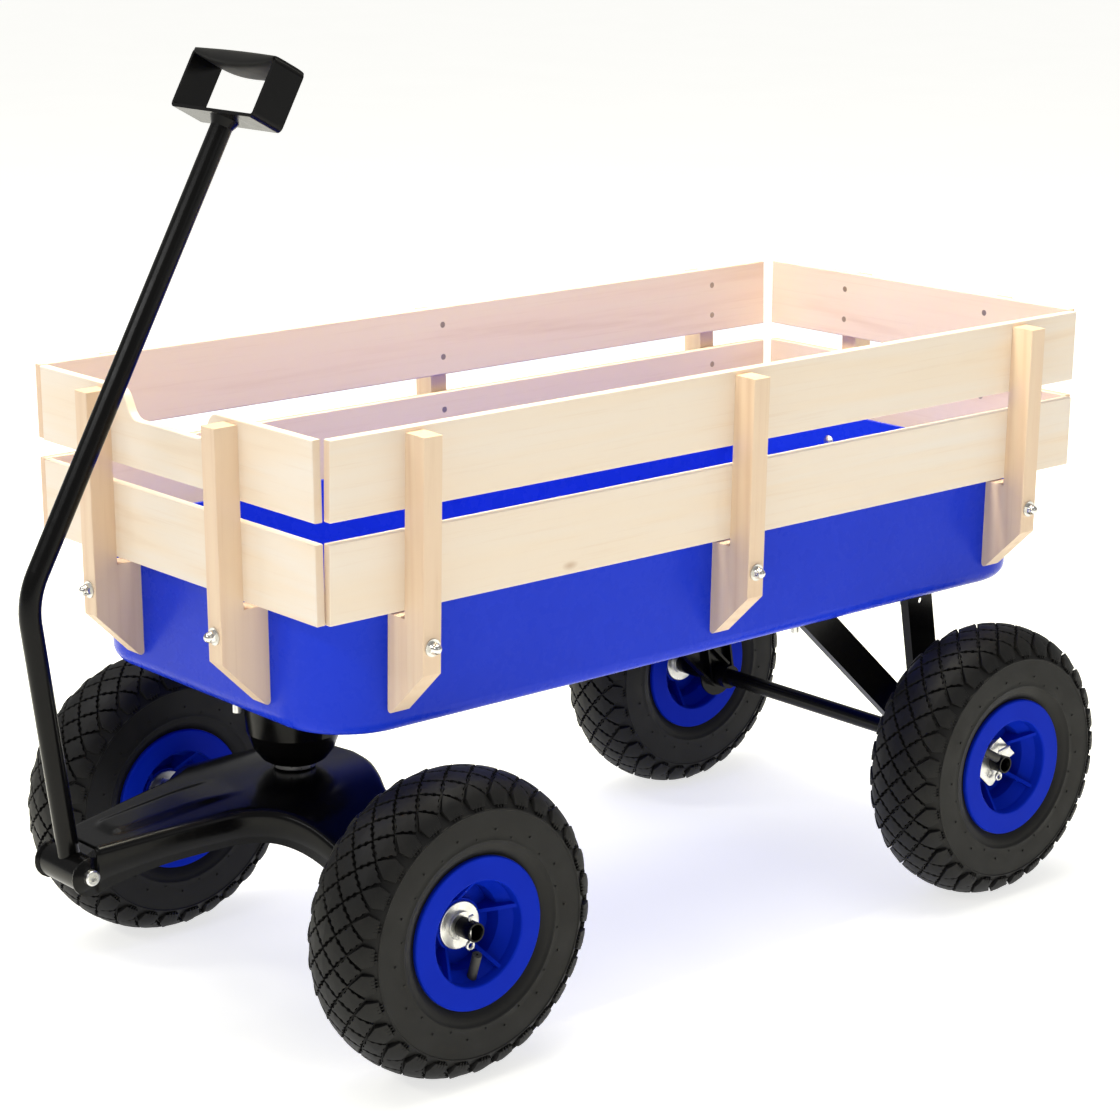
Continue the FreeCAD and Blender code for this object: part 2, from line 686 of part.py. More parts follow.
def make_bogie():
    outer = bogie_block(bogie_outline(0, 0), 0)
    inner = bogie_block(bogie_outline(BOGIE_SHEET, 10), BOGIE_SHEET)
    wide = polygon([(-250, -650, 0), (250, -650, 0), (250, -200, 0), (-250, -200, 0)])
    shell = outer.cut(inner).cut(bogie_block(wide, BOGIE_DEPTH))
    ends = []
    for x in (ARM_END - BOGIE_SHEET, 126.0):
        plate = box((x, -369.6, AXLE_Z - 17), (x + BOGIE_SHEET, -305, 230))
        ends.append(plate.common(outer))
    pieces = [shell, clevis_ear(), mirrored(clevis_ear()), raised_panel()]
    for plate in ends:
        pieces.append(plate)
        pieces.append(mirrored(plate))
    frame = fuse_all(pieces)
    kingpin_hole = rod(KINGPIN_RADIUS + FIT, (0, FRONT_AXLE_Y, 100), (0, FRONT_AXLE_Y, 300))
    bolt_hole = rod(PIVOT_BOLT_RADIUS, (-60, PIVOT_Y, PIVOT_Z), (60, PIVOT_Y, PIVOT_Z))
    axle_hole = rod(AXLE_RADIUS, (-300, FRONT_AXLE_Y, AXLE_Z), (300, FRONT_AXLE_Y, AXLE_Z))
    return frame.cut(kingpin_hole).cut(bolt_hole).cut(axle_hole)


def make_axle_stub():
    start = (118, FRONT_AXLE_Y, AXLE_Z)
    end = (FRONT_AXLE_END, FRONT_AXLE_Y, AXLE_Z)
    solid = fuse_all([rod(AXLE_RADIUS, start, end), collar(ARM_END, INNER_WASHER_X, FRONT_AXLE_Y)])
    bored = solid.cut(rod(AXLE_BORE, start, end))
    return bored.cut(cotter_hole(FRONT_AXLE_END - COTTER_INSET, FRONT_AXLE_Y))


def make_pivot_bolt():
    shank = rod(PIVOT_BOLT_RADIUS, (-CLEVIS_HALF - 9, PIVOT_Y, PIVOT_Z), (CLEVIS_HALF, PIVOT_Y, PIVOT_Z))
    head = rod(6.8, (CLEVIS_HALF, PIVOT_Y, PIVOT_Z), (CLEVIS_HALF + 5, PIVOT_Y, PIVOT_Z))
    head = head.makeFillet(1.6, edges_where(head, lambda centre, edge: centre.x > CLEVIS_HALF + 4.9))
    socket = hexagon(5, (CLEVIS_HALF + 2, PIVOT_Y, PIVOT_Z), (4, 0, 0))
    return fuse_all([shank, head]).cut(socket)


def make_pivot_nut():
    nut = hexagon(13, (-CLEVIS_HALF - 7.5, PIVOT_Y, PIVOT_Z), (7.5, 0, 0))
    return nut.cut(rod(PIVOT_BOLT_RADIUS, (-60, PIVOT_Y, PIVOT_Z), (0, PIVOT_Y, PIVOT_Z)))


# ---------------------------------------------------------------- handle

def handle_points():
    """Pivot, bend corner and upper end of the handle tube's centre line."""
    bend_y = PIVOT_Y - (HANDLE_BEND_Z - PIVOT_Z) * math.tan(math.radians(HANDLE_LOWER_LEAN))
    lean = math.radians(HANDLE_UPPER_LEAN)
    end_y = bend_y + HANDLE_UPPER_LENGTH * math.sin(lean)
    end_z = HANDLE_BEND_Z + HANDLE_UPPER_LENGTH * math.cos(lean)
    return Vector(0, PIVOT_Y, PIVOT_Z), Vector(0, bend_y, HANDLE_BEND_Z), Vector(0, end_y, end_z)


def bent_bar(start, corner, end, radius):
    """A round bar along two straight runs joined by a tangent arc."""
    before = (start - corner).normalize()
    after = (end - corner).normalize()
    half_angle = before.getAngle(after) / 2
    reach = HANDLE_BEND_RADIUS / math.tan(half_angle)
    first = corner + before * reach
    last = corner + after * reach
    middle_direction = (before + after).normalize()
    to_centre = HANDLE_BEND_RADIUS / math.sin(half_angle)
    middle = corner + middle_direction * (to_centre - HANDLE_BEND_RADIUS)
    path = Part.Wire([
        Part.LineSegment(start, first).toShape(),
        Part.Arc(first, middle, last).toShape(),
        Part.LineSegment(last, end).toShape(),
    ])
    circle = Part.Wire([Part.Circle(start, before, radius).toShape()])
    return path.makePipeShell([circle], True, False)


def make_handle_tube():
    start, corner, end = handle_points()
    bar = bent_bar(start, corner, end, HANDLE_RADIUS)
    bore = bent_bar(start, corner, end, HANDLE_BORE)
    upwards = (end - corner).normalize()
    weld = Part.makeCone(HANDLE_RADIUS, HANDLE_RADIUS + 3.5, 7, end - upwards * 7, upwards)
    barrel = rod(BARREL_RADIUS, (-50, PIVOT_Y, PIVOT_Z), (50, PIVOT_Y, PIVOT_Z))
    return fuse_all([bar, weld]).cut(bore).cut(barrel)


def make_pivot_barrel():
    half = CLEVIS_HALF - BOGIE_SHEET - GAP
    start = (-half, PIVOT_Y, PIVOT_Z)
    end = (half, PIVOT_Y, PIVOT_Z)
    body = round_edges(rod(BARREL_RADIUS, start, end), 1.5)
    return body.cut(rod(PIVOT_BOLT_RADIUS + FIT, start, end))


def at_grip(shape):
    """Moves a shape made about the upper end of the tube, with the tube along Z, into place."""
    end = handle_points()[2]
    shape.Placement = FreeCAD.Placement(end, FreeCAD.Rotation(ALONG_X, -HANDLE_UPPER_LEAN))
    return shape


def grip_frame():
    wide = GRIP_HALF_WIDTH
    outer = box((-GRIP_HALF, -wide, 0), (GRIP_HALF, wide, GRIP_HEIGHT))
    outer = outer.makeFillet(5, edges_where(outer, lambda centre, edge: abs(centre.y) < 0.01))
    strip = GRIP_STRIP
    inner = box((strip - GRIP_HALF, -wide - 1, strip), (GRIP_HALF - strip, wide + 1, GRIP_HEIGHT - strip))
    inner = inner.makeFillet(2, edges_where(inner, lambda centre, edge: abs(centre.y) < 0.01))
    return outer.cut(inner)


def make_grip_loop():
    return at_grip(grip_frame())


def make_grip_cover():
    """The moulded bar around the top of the loop, a little fuller in the middle."""
    half = GRIP_HALF - GRIP_STRIP - 0.1
    low = GRIP_HEIGHT - GRIP_COVER_THICK
    high = GRIP_HEIGHT + 1.5
    wide = GRIP_HALF_WIDTH + 1.5
    edges = [
        curve([(-half, -wide, high - 1), (0, -wide, high + 2.5), (half, -wide, high - 1)]),
        line((half, -wide, high - 1), (half, -wide, low)),
        curve([(half, -wide, low), (0, -wide, low - 2), (-half, -wide, low)]),
        line((-half, -wide, low), (-half, -wide, high - 1)),
    ]
    bar = Part.Face(Part.Wire(edges)).extrude(Vector(0, 2 * wide, 0))
    long_edges = edges_where(bar, lambda centre, edge: edge.Length > half)
    bar = bar.makeFillet(4.5, long_edges)
    return at_grip(bar.cut(grip_frame()))


# ---------------------------------------------------------------- wheels, about the origin with +X outwards

def tyre_section():
    outer = [(36.8, 71.5), (41, 83), (TYRE_HALF_WIDTH, 97), (40.4, 111.5), (34.5, 122), (20, 131)]
    outer.append((0, TYRE_RADIUS))
    inner = [(30, 70), (35, 85), (36.2, 99), (32.4, 113), (20, 121.8), (0, 124.5)]
    seat = RIM_SEAT + GAP
    bead_outer = RIM_HALF - 4 - GAP
    bead_inner = 27.0
    outside = [(bead_outer, 67.5)] + outer
    inside = [(bead_inner, 62)] + inner
    full_outside = [(-a, r, 0) for a, r in outside] + [(a, r, 0) for a, r in reversed(outside[:-1])]
    full_inside = [(-a, r, 0) for a, r in inside] + [(a, r, 0) for a, r in reversed(inside[:-1])]
    return [
        curve(full_outside),
        line((bead_outer, 67.5, 0), (bead_outer, seat, 0)),
        line((bead_outer, seat, 0), (bead_inner, seat, 0)),
        line((bead_inner, seat, 0), (bead_inner, 62, 0)),
        curve(full_inside),
        line((-bead_inner, 62, 0), (-bead_inner, seat, 0)),
        line((-bead_inner, seat, 0), (-bead_outer, seat, 0)),
        line((-bead_outer, seat, 0), (-bead_outer, 67.5, 0)),
    ]


def make_tyre():
    return revolve_about_x(tyre_section())


def valve_point(r):
    """Where the valve's centre line is at a distance from the wheel's axis."""
    angle = math.radians(VALVE_ANGLE)
    x = VALVE_TIP_X - VALVE_LEAN * (r - VALVE_TIP_RADIUS)
    return x, r * math.cos(angle), r * math.sin(angle)


def make_inner_tube():
    """The inflated inner tube with its rubber valve stem, hollow through the stem."""
    middle = 88.0
    shells = []
    for half_width, half_height in ((25.0, 33.5), (23.0, 31.5)):
        tip = Vector(0, middle + half_height, 0)
        oval = Part.Ellipse(tip, Vector(half_width, middle, 0), Vector(0, middle, 0))
        shells.append(revolve_about_x([oval.toShape()]))
    stem = rod(VALVE_RADIUS, valve_point(VALVE_TIP_RADIUS), valve_point(64))
    body = fuse_all([shells[0], stem])
    return body.cut(shells[1]).cut(rod(1.2, valve_point(10), valve_point(76)))


def rim_section():
    """Half of the rim's section, from the barrel's seat round its face and recess to the bore."""
    return [
        (RIM_HALF - 4, RIM_SEAT),
        (RIM_HALF - 4, RIM_FLANGE),
        (RIM_HALF, RIM_FLANGE),
        (RIM_HALF, RIM_MOUTH),
        (RIM_HALF - 10.5, RIM_MOUTH - 0.5),
        (RIM_HALF - 21, STEP_RADIUS),
        (WEB_HALF, STEP_RADIUS - 0.5),
        (WEB_HALF, HUB_RADIUS + 0.5),
        (HUB_HALF, HUB_RADIUS),
        (HUB_HALF, AXLE_RADIUS + 1.5),
    ]


def make_rim():
    """A moulded rim: two stepped dishes back to back, a thin web, a short hub and sloping ribs."""
    half = [(x, r, 0) for x, r in rim_section()]
    points = half + [(-x, r, 0) for x, r, _ in reversed(half)]
    dish = Part.Face(polygon(points)).revolve(ORIGIN, ALONG_X, 360)
    pieces = [round_edges(dish, 1.8, lambda centre: abs(centre.x) > RIM_HALF - 0.1)]
    inner, outer = BEARING_FLANGE + 1, RIM_MOUTH + 1.5
    for number in range(RIB_COUNT):
        corners = [
            (-HUB_HALF, inner, -RIB_THICK / 2),
            (-RIM_HALF + 3, outer, -RIB_THICK / 2),
            (RIM_HALF - 3, outer, -RIB_THICK / 2),
            (HUB_HALF, inner, -RIB_THICK / 2),
        ]
        rib = prism(corners, (0, 0, RIB_THICK))
        rib.rotate(ORIGIN, ALONG_X, RIB_ANGLE + 360.0 * number / RIB_COUNT)
        pieces.append(rib)
    rim = fuse_all(pieces)
    seat = rod(BEARING_RADIUS + FIT, (HUB_HALF - 7.5, 0, 0), (HUB_HALF + 1, 0, 0))
    valve_hole = rod(VALVE_RADIUS + GAP, valve_point(34), valve_point(60))
    return rim.cut(seat).cut(mirrored(seat)).cut(valve_hole)


def make_bearings():
    body = rod(BEARING_RADIUS, (HUB_HALF - 7.0, 0, 0), (HUB_HALF, 0, 0))
    flange = rod(BEARING_FLANGE, (HUB_HALF, 0, 0), (HUB_HALF + 2, 0, 0))
    flange = flange.makeFillet(0.9, edges_where(flange, lambda centre, edge: centre.x > HUB_HALF + 1.9))
    race = rod(12.7, (HUB_HALF, 0, 0), (BEARING_FACE, 0, 0))
    bore = rod(AXLE_RADIUS + FIT, (0, 0, 0), (60, 0, 0))
    bearing = fuse_all([body, flange, race]).cut(bore)
    return Part.makeCompound([bearing, mirrored(bearing)])


def make_wheel(corner, left, y, nodes):
    """Four nodes of one wheel, placed at its corner of the wagon."""
    parts = {
        "tyre": make_tyre(),
        "inner_tube": make_inner_tube(),
        "rim": make_rim(),
        "bearings": make_bearings(),
    }
    for name, shape in parts.items():
        placed = shape if left else mirrored(shape)
        placed.rotate(ORIGIN, ALONG_X, WHEEL_TURN[corner])
        placed.translate(Vector(TRACK_HALF if left else -TRACK_HALF, y, AXLE_Z))
        nodes["%s_%s" % (name, corner)] = placed


# ---------------------------------------------------------------- assembly

def make_wagon():
    nodes = {}
    groups = {"board_screws": [], "carriage_bolts": [], "acorn_nuts": [], "post_washers": []}
    holes = []
    sides = {
        "left": (Side(0, TRAY_HALF_X, TRAY_TAPER_X, SIDE_FACE, SIDE_OUTER, SIDE_BOARD_HALF, 0),
                 {"front": -366, "middle": 0, "rear": 366}),
        "right": (Side(180, TRAY_HALF_X, TRAY_TAPER_X, SIDE_FACE, SIDE_OUTER, SIDE_BOARD_HALF,
                       RIGHT_BOARD_SHIFT),
                  {"front": 366, "middle": 0, "rear": -366}),
        "front": (Side(-90, TRAY_HALF_Y, TRAY_TAPER_Y, END_FACE, END_OUTER, END_BOARD_HALF,
                       FRONT_BOARD_SHIFT),
                  {"left": 96, "right": -96}),
        "rear": (Side(90, TRAY_HALF_Y, TRAY_TAPER_Y, END_FACE, END_OUTER, END_BOARD_HALF, 0),
                 {"left": -96, "right": 96}),
    }
    for name, (side, offsets) in sides.items():
        make_side(name, side, offsets, nodes, groups, holes)
    for name, solids in groups.items():
        nodes[name] = Part.makeCompound(solids)

    places = bolster_bolt_places() + bracket_bolt_places()
    nodes["floor_bolts"] = Part.makeCompound([floor_bolt(x, y) for x, y in places])
    nodes["floor_nuts"] = Part.makeCompound([floor_nut(x, y) for x, y in places])
    low, high = TRAY_BOTTOM - 30, TRAY_BOTTOM + 10
    floor_holes = [rod(FLOOR_BOLT_RADIUS, (x, y, low), (x, y, high)) for x, y in places]
    nodes["tray"] = make_tray(holes + floor_holes)

    bolt_tool = Part.makeCompound(floor_holes)
    nodes["bolster"] = make_bolster().cut(bolt_tool)
    nodes["kingpin"] = make_kingpin()
    nodes["kingpin_nut"] = make_kingpin_nut()
    nodes["thrust_washer"] = make_thrust_washer()

    solid_axle = rod(AXLE_RADIUS, *rear_axle_ends())
    nodes["rear_bracket_left"] = make_left_bracket(solid_axle, bolt_tool)
    nodes["rear_bracket_right"] = mirrored(nodes["rear_bracket_left"])
    nodes["rear_axle"] = make_rear_axle()
    left_washers = [tab_washer(OUTER_WASHER_X), round_washer(INNER_WASHER_X, REAR_AXLE_Y)]
    nodes["rear_washers"] = Part.makeCompound(left_washers + [mirrored(shape) for shape in left_washers])
    rear_pin = cotter_pin(REAR_AXLE_END - COTTER_INSET, REAR_AXLE_Y, 14)
    nodes["rear_cotter_pins"] = Part.makeCompound([rear_pin, mirrored(rear_pin)])

    nodes["bogie_frame"] = make_bogie()
    stub = make_axle_stub()
    nodes["front_axle_stubs"] = Part.makeCompound([stub, mirrored(stub)])
    left_washers = [round_washer(x, FRONT_AXLE_Y) for x in (INNER_WASHER_X, OUTER_WASHER_X)]
    nodes["front_washers"] = Part.makeCompound(left_washers + [mirrored(shape) for shape in left_washers])
    front_pin = cotter_pin(FRONT_AXLE_END - COTTER_INSET, FRONT_AXLE_Y, 3)
    nodes["front_cotter_pins"] = Part.makeCompound([front_pin, mirrored(front_pin)])
    nodes["pivot_bolt"] = make_pivot_bolt()
    nodes["pivot_nut"] = make_pivot_nut()

    nodes["pivot_barrel"] = make_pivot_barrel()
    nodes["handle_tube"] = make_handle_tube()
    nodes["grip_loop"] = make_grip_loop()
    nodes["grip_cover"] = make_grip_cover()

    make_wheel("front_left", True, FRONT_AXLE_Y, nodes)
    make_wheel("front_right", False, FRONT_AXLE_Y, nodes)
    make_wheel("rear_left", True, REAR_AXLE_Y, nodes)
    make_wheel("rear_right", False, REAR_AXLE_Y, nodes)
    return nodes


def main():
    os.makedirs("parts", exist_ok=True)
    nodes = make_wagon()
    whole = FreeCAD.BoundBox()
    for shape in nodes.values():
        whole.add(shape.optimalBoundingBox(True, False))
    for name, shape in nodes.items():
        shape.translate(Vector(0, -MIDDLE_Y, LIFT))
        shape.exportStep("parts/%s.step" % name)
        if not shape.isValid():
            print("not valid: %s" % name)
    print("%d nodes, size %.1f x %.1f x %.1f" % (len(nodes), whole.XLength, whole.YLength, whole.ZLength))
    print("middle of the wagon along Y is %.2f from the stated one" % (whole.Center.y - MIDDLE_Y))


main()
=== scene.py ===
import bpy
import bmesh
import json
import math
import numpy as np
from mathutils import Matrix, Vector
from mathutils.geometry import delaunay_2d_cdt


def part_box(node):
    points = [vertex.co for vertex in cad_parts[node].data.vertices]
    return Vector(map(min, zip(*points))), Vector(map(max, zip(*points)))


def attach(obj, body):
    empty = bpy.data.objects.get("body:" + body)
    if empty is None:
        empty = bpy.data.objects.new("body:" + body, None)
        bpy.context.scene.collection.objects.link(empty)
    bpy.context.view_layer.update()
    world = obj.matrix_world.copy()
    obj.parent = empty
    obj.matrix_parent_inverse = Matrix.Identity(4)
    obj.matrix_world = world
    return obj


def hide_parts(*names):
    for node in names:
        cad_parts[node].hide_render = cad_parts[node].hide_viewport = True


# A four-wheeled wagon with a pull handle. Metres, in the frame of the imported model:
# +Z up, the wagon is pulled towards -Y and its left side faces +X.

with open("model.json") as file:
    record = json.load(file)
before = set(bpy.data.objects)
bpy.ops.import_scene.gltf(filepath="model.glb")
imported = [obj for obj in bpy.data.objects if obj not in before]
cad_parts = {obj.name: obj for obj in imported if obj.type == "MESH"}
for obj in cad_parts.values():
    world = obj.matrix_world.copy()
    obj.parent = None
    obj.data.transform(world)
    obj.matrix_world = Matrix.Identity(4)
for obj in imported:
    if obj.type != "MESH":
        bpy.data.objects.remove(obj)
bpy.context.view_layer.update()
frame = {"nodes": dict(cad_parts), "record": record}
MM = 0.001

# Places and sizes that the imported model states
JOINTS = {joint["name"]: Vector(joint["pos_m"]) for joint in frame["record"]["behaviour"]["joints"]}
PIVOT = JOINTS["handle_pivot"]
KINGPIN = JOINTS["steering"]
WHEELS = {name[:-5]: place for name, place in JOINTS.items() if name.endswith("_spin")}
TRAY_LOW, TRAY_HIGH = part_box("tray")
MIDDLE = Vector((0, (TRAY_LOW.y + TRAY_HIGH.y) / 2, TRAY_LOW.z))

# Tyre
TYRE_RADIUS = 134.0
GROOVE_DEPTH = 3.6
TREAD_ROWS = 30                 # diamonds round the tyre in each row
LUG_START = 27.0                # along the tyre's section from the crown, in millimetres
LUG_END = 48.5

# Handle
LOWER_LEAN = math.radians(7.5)
UPPER_LEAN = math.radians(28.8)
BEND_HEIGHT = 239.0             # of the bend above the pivot
UPPER_LENGTH = 430.0


# ------------------------------------------------------------------ node helpers

class Shader:
    """A material's node tree with short calls to add the usual nodes."""

    def __init__(self, name, **values):
        self.material = bpy.data.materials.new(name)
        self.material.use_nodes = True
        self.tree = self.material.node_tree
        self.principled = self.tree.nodes["Principled BSDF"]
        coordinates = self.tree.nodes.new("ShaderNodeTexCoord")
        self.position = coordinates.outputs["Object"]
        for key, value in values.items():
            self.principled.inputs[key.replace("_", " ")].default_value = value

    def node(self, kind, **inputs):
        made = self.tree.nodes.new("ShaderNode" + kind)
        for key, value in inputs.items():
            socket = made.inputs[key.replace("_", " ")] if isinstance(key, str) else made.inputs[key]
            self.feed(socket, value)
        return made

    def feed(self, socket, value):
        if isinstance(value, bpy.types.NodeSocket):
            self.tree.links.new(value, socket)
        else:
            socket.default_value = value

    def stretched(self, scale, offset=(0, 0, 0)):
        made = self.node("Mapping", Vector=self.position)
        made.inputs["Scale"].default_value = scale
        made.inputs["Location"].default_value = offset
        return made.outputs["Vector"]

    def noise(self, vector, scale, detail=4.0, roughness=0.5, distortion=0.0):
        made = self.node("TexNoise", Vector=vector, Scale=scale, Detail=detail, Roughness=roughness)
        made.inputs["Distortion"].default_value = distortion
        return made.outputs["Fac"]

    def ramp(self, factor, stops, kind="LINEAR"):
        made = self.node("ValToRGB", Fac=factor)
        made.color_ramp.interpolation = kind
        elements = made.color_ramp.elements
        while len(elements) < len(stops):
            elements.new(0.5)
        for element, (place, colour) in zip(elements, stops):
            element.position = place
            element.color = colour if len(colour) == 4 else (*colour, 1.0)
        return made.outputs["Color"]

    def grey(self, factor, low, high, start=0.0, end=1.0):
        made = self.node("MapRange", Value=factor)
        made.inputs["From Min"].default_value = start
        made.inputs["From Max"].default_value = end
        made.inputs["To Min"].default_value = low
        made.inputs["To Max"].default_value = high
        return made.outputs["Result"]

    def mix(self, factor, first, second, blend="MIX"):
        made = self.tree.nodes.new("ShaderNodeMix")
        made.data_type = "RGBA"
        made.blend_type = blend
        self.feed(made.inputs[0], factor)
        self.feed(made.inputs[6], first if isinstance(first, bpy.types.NodeSocket) else (*first, 1.0))
        self.feed(made.inputs[7], second if isinstance(second, bpy.types.NodeSocket) else (*second, 1.0))
        return made.outputs[2]

    def maths(self, operation, first, second=0.0):
        made = self.tree.nodes.new("ShaderNodeMath")
        made.operation = operation
        self.feed(made.inputs[0], first)
        self.feed(made.inputs[1], second)
        return made.outputs["Value"]

    def facing(self, axis):
        """How far a surface turns towards a row-frame axis, either way: 1 is square on."""
        geometry = self.tree.nodes.new("ShaderNodeNewGeometry")
        made = self.tree.nodes.new("ShaderNodeVectorMath")
        made.operation = "DOT_PRODUCT"
        self.tree.links.new(geometry.outputs["Normal"], made.inputs[0])
        made.inputs[1].default_value = axis
        return self.maths("ABSOLUTE", made.outputs["Value"])

    def bump(self, height, distance, strength=1.0, under=None):
        made = self.node("Bump", Height=height, Distance=distance, Strength=strength)
        if under is not None:
            self.tree.links.new(under, made.inputs["Normal"])
        return made.outputs["Normal"]

    def colour(self, value):
        self.feed(self.principled.inputs["Base Color"], value)

    def roughness(self, value):
        self.feed(self.principled.inputs["Roughness"], value)

    def normal(self, value):
        self.feed(self.principled.inputs["Normal"], value)


def stretch_along(axis, along, across):
    """Mapping scale that draws a pattern out along one axis."""
    return tuple(along if number == axis else across for number in range(3))


# ------------------------------------------------------------------ materials

def wood(name, grain_axis, light, dark, tint):
    """Pale planed softwood with long faint grain, fine pores and a few pin knots."""
    shader = Shader(name, IOR=1.45, Coat_Weight=0.08, Coat_Roughness=0.35)
    long_way = shader.stretched(stretch_along(grain_axis, 0.55, 9.0))
    bands = shader.noise(long_way, 5.0, 3.0, 0.55, 0.6)
    fibres = shader.noise(shader.stretched(stretch_along(grain_axis, 6.0, 260.0)), 1.0, 5.0, 0.7)
    broad = shader.noise(shader.stretched(stretch_along(grain_axis, 0.9, 3.0), (3.1, 1.7, 0.4)), 1.6, 2.0)
    rings = shader.node("TexWave", Vector=long_way, Scale=2.6, Distortion=7.0, Detail=3.0, Detail_Scale=1.2)
    grain = shader.maths("ADD", shader.maths("MULTIPLY", rings.outputs["Fac"], 0.35), bands)
    grain = shader.maths("MULTIPLY", grain, 0.75)
    base = shader.ramp(grain, [(0.25, light), (0.62, tint), (0.95, dark)])
    base = shader.mix(shader.grey(broad, 0.0, 0.55, 0.42, 0.68), base, tint)
    base = shader.mix(shader.grey(fibres, 0.0, 0.35, 0.55, 0.8), base, dark)
    spread = shader.stretched(stretch_along(grain_axis, 5.0, 11.0))
    knots = shader.node("TexVoronoi", Vector=spread, Scale=1.0)
    knot = shader.grey(knots.outputs["Distance"], 0.55, 0.0, 0.012, 0.05)
    base = shader.mix(knot, base, (0.42, 0.24, 0.12))
    end_grain = shader.facing(tuple(1.0 if number == grain_axis else 0.0 for number in range(3)))
    base = shader.mix(shader.grey(end_grain, 0.0, 0.55, 0.7, 0.95), base, dark)
    shader.colour(base)
    shader.roughness(shader.grey(fibres, 0.42, 0.62, 0.3, 0.7))
    fine = shader.bump(fibres, 0.00012, 0.5)
    shader.normal(shader.bump(grain, 0.0002, 0.35, fine))
    return shader.material


def blue_paint(name, roughness, coat, ripple):
    """Gloss cobalt paint: slight flow marks, soft ripples of the pressed sheet, light dust."""
    shader = Shader(name, IOR=1.5, Specular_IOR_Level=0.07,
                    Coat_Weight=coat, Coat_Roughness=0.12, Coat_IOR=1.15)
    cloud = shader.noise(shader.position, 6.0, 3.0)
    shader.colour(shader.ramp(cloud, [(0.3, (0.010, 0.036, 0.58)), (0.7, (0.013, 0.042, 0.63))]))
    dust = shader.noise(shader.position, 55.0, 6.0, 0.65)
    shader.roughness(shader.grey(dust, roughness - 0.04, roughness + 0.10, 0.35, 0.7))
    orange_peel = shader.bump(shader.noise(shader.position, 420.0, 2.0), 0.00004, 0.6)
    waves = shader.noise(shader.stretched((6.0, 6.0, 1.6)), 1.0, 1.5)
    shader.normal(shader.bump(waves, ripple, 1.0, orange_peel))
    return shader.material


def blue_moulding(name):
    """Moulded blue plastic with a fine satin texture."""
    shader = Shader(name, IOR=1.48, Specular_IOR_Level=0.03)
    cloud = shader.noise(shader.position, 22.0, 3.0)
    shader.colour(shader.ramp(cloud, [(0.3, (0.0022, 0.018, 0.40)), (0.7, (0.0030, 0.021, 0.44))]))
    fine = shader.noise(shader.position, 900.0, 3.0)
    shader.roughness(shader.grey(cloud, 0.34, 0.46, 0.3, 0.7))
    shader.normal(shader.bump(fine, 0.00003, 0.5))
    return shader.material


def black_enamel(name):
    """Gloss black powder coat with faint orange peel and a little dust on it."""
    shader = Shader(name, IOR=1.5, Specular_IOR_Level=0.15)
    cloud = shader.noise(shader.position, 14.0, 4.0)
    shader.colour(shader.ramp(cloud, [(0.35, (0.0022, 0.0022, 0.0023)), (0.75, (0.0034, 0.0032, 0.0031))]))
    dust = shader.noise(shader.position, 130.0, 5.0, 0.7)
    shader.roughness(shader.grey(dust, 0.20, 0.27, 0.4, 0.75))
    shader.normal(shader.bump(shader.noise(shader.position, 380.0, 2.0), 0.00002, 0.5))
    return shader.material


def black_plastic(name):
    """Moulded grip plastic with a fine spark-eroded texture."""
    shader = Shader(name, IOR=1.47, Specular_IOR_Level=0.18)
    cloud = shader.noise(shader.position, 40.0, 3.0)
    shader.colour(shader.ramp(cloud, [(0.3, (0.0045, 0.0045, 0.0048)), (0.8, (0.0075, 0.0072, 0.007))]))
    fine = shader.noise(shader.position, 1500.0, 2.0)
    shader.roughness(shader.grey(cloud, 0.48, 0.60, 0.3, 0.7))
    shader.normal(shader.bump(fine, 0.00005, 0.7))
    return shader.material


def tyre_rubber(name):
    """Black moulded rubber: dull, a little brown dust on the tread and a fine skin texture."""
    shader = Shader(name, IOR=1.5, Specular_IOR_Level=0.22)
    dust = shader.noise(shader.position, 30.0, 5.0, 0.65)
    fine = shader.noise(shader.position, 700.0, 3.0)
    black, worn, dusty = (0.0046, 0.0046, 0.0050), (0.0066, 0.0064, 0.0064), (0.015, 0.0135, 0.0125)
    base = shader.ramp(dust, [(0.35, black), (0.6, worn), (0.85, dusty)])
    shader.colour(base)
    shader.roughness(shader.grey(dust, 0.46, 0.66, 0.3, 0.75))
    broad = shader.bump(shader.noise(shader.position, 60.0, 3.0), 0.0002, 0.4)
    shader.normal(shader.bump(fine, 0.00008, 0.6, broad))
    return shader.material


def tube_rubber(name):
    """Grey-black valve rubber with a bloom of lighter dust."""
    shader = Shader(name, IOR=1.5)
    bloom = shader.noise(shader.position, 120.0, 5.0, 0.7)
    shader.colour(shader.ramp(bloom, [(0.3, (0.020, 0.020, 0.019)), (0.8, (0.060, 0.058, 0.052))]))
    shader.roughness(shader.grey(bloom, 0.50, 0.68, 0.3, 0.7))
    shader.normal(shader.bump(bloom, 0.0001, 0.5))
    return shader.material


def plated(name, tone, roughness, stain):
    """Plated steel: bright, softly mottled, with faint drawn scratches."""
    shader = Shader(name, Metallic=1.0)
    mottle = shader.noise(shader.position, 160.0, 5.0, 0.6)
    shader.colour(shader.mix(shader.grey(mottle, 0.0, 0.7, 0.45, 0.8), tone, stain))
    shader.roughness(shader.grey(mottle, roughness - 0.06, roughness + 0.12, 0.3, 0.75))
    scratches = shader.noise(shader.stretched((90.0, 1400.0, 1400.0)), 1.0, 2.0)
    shader.normal(shader.bump(scratches, 0.00003, 0.4))
    return shader.material


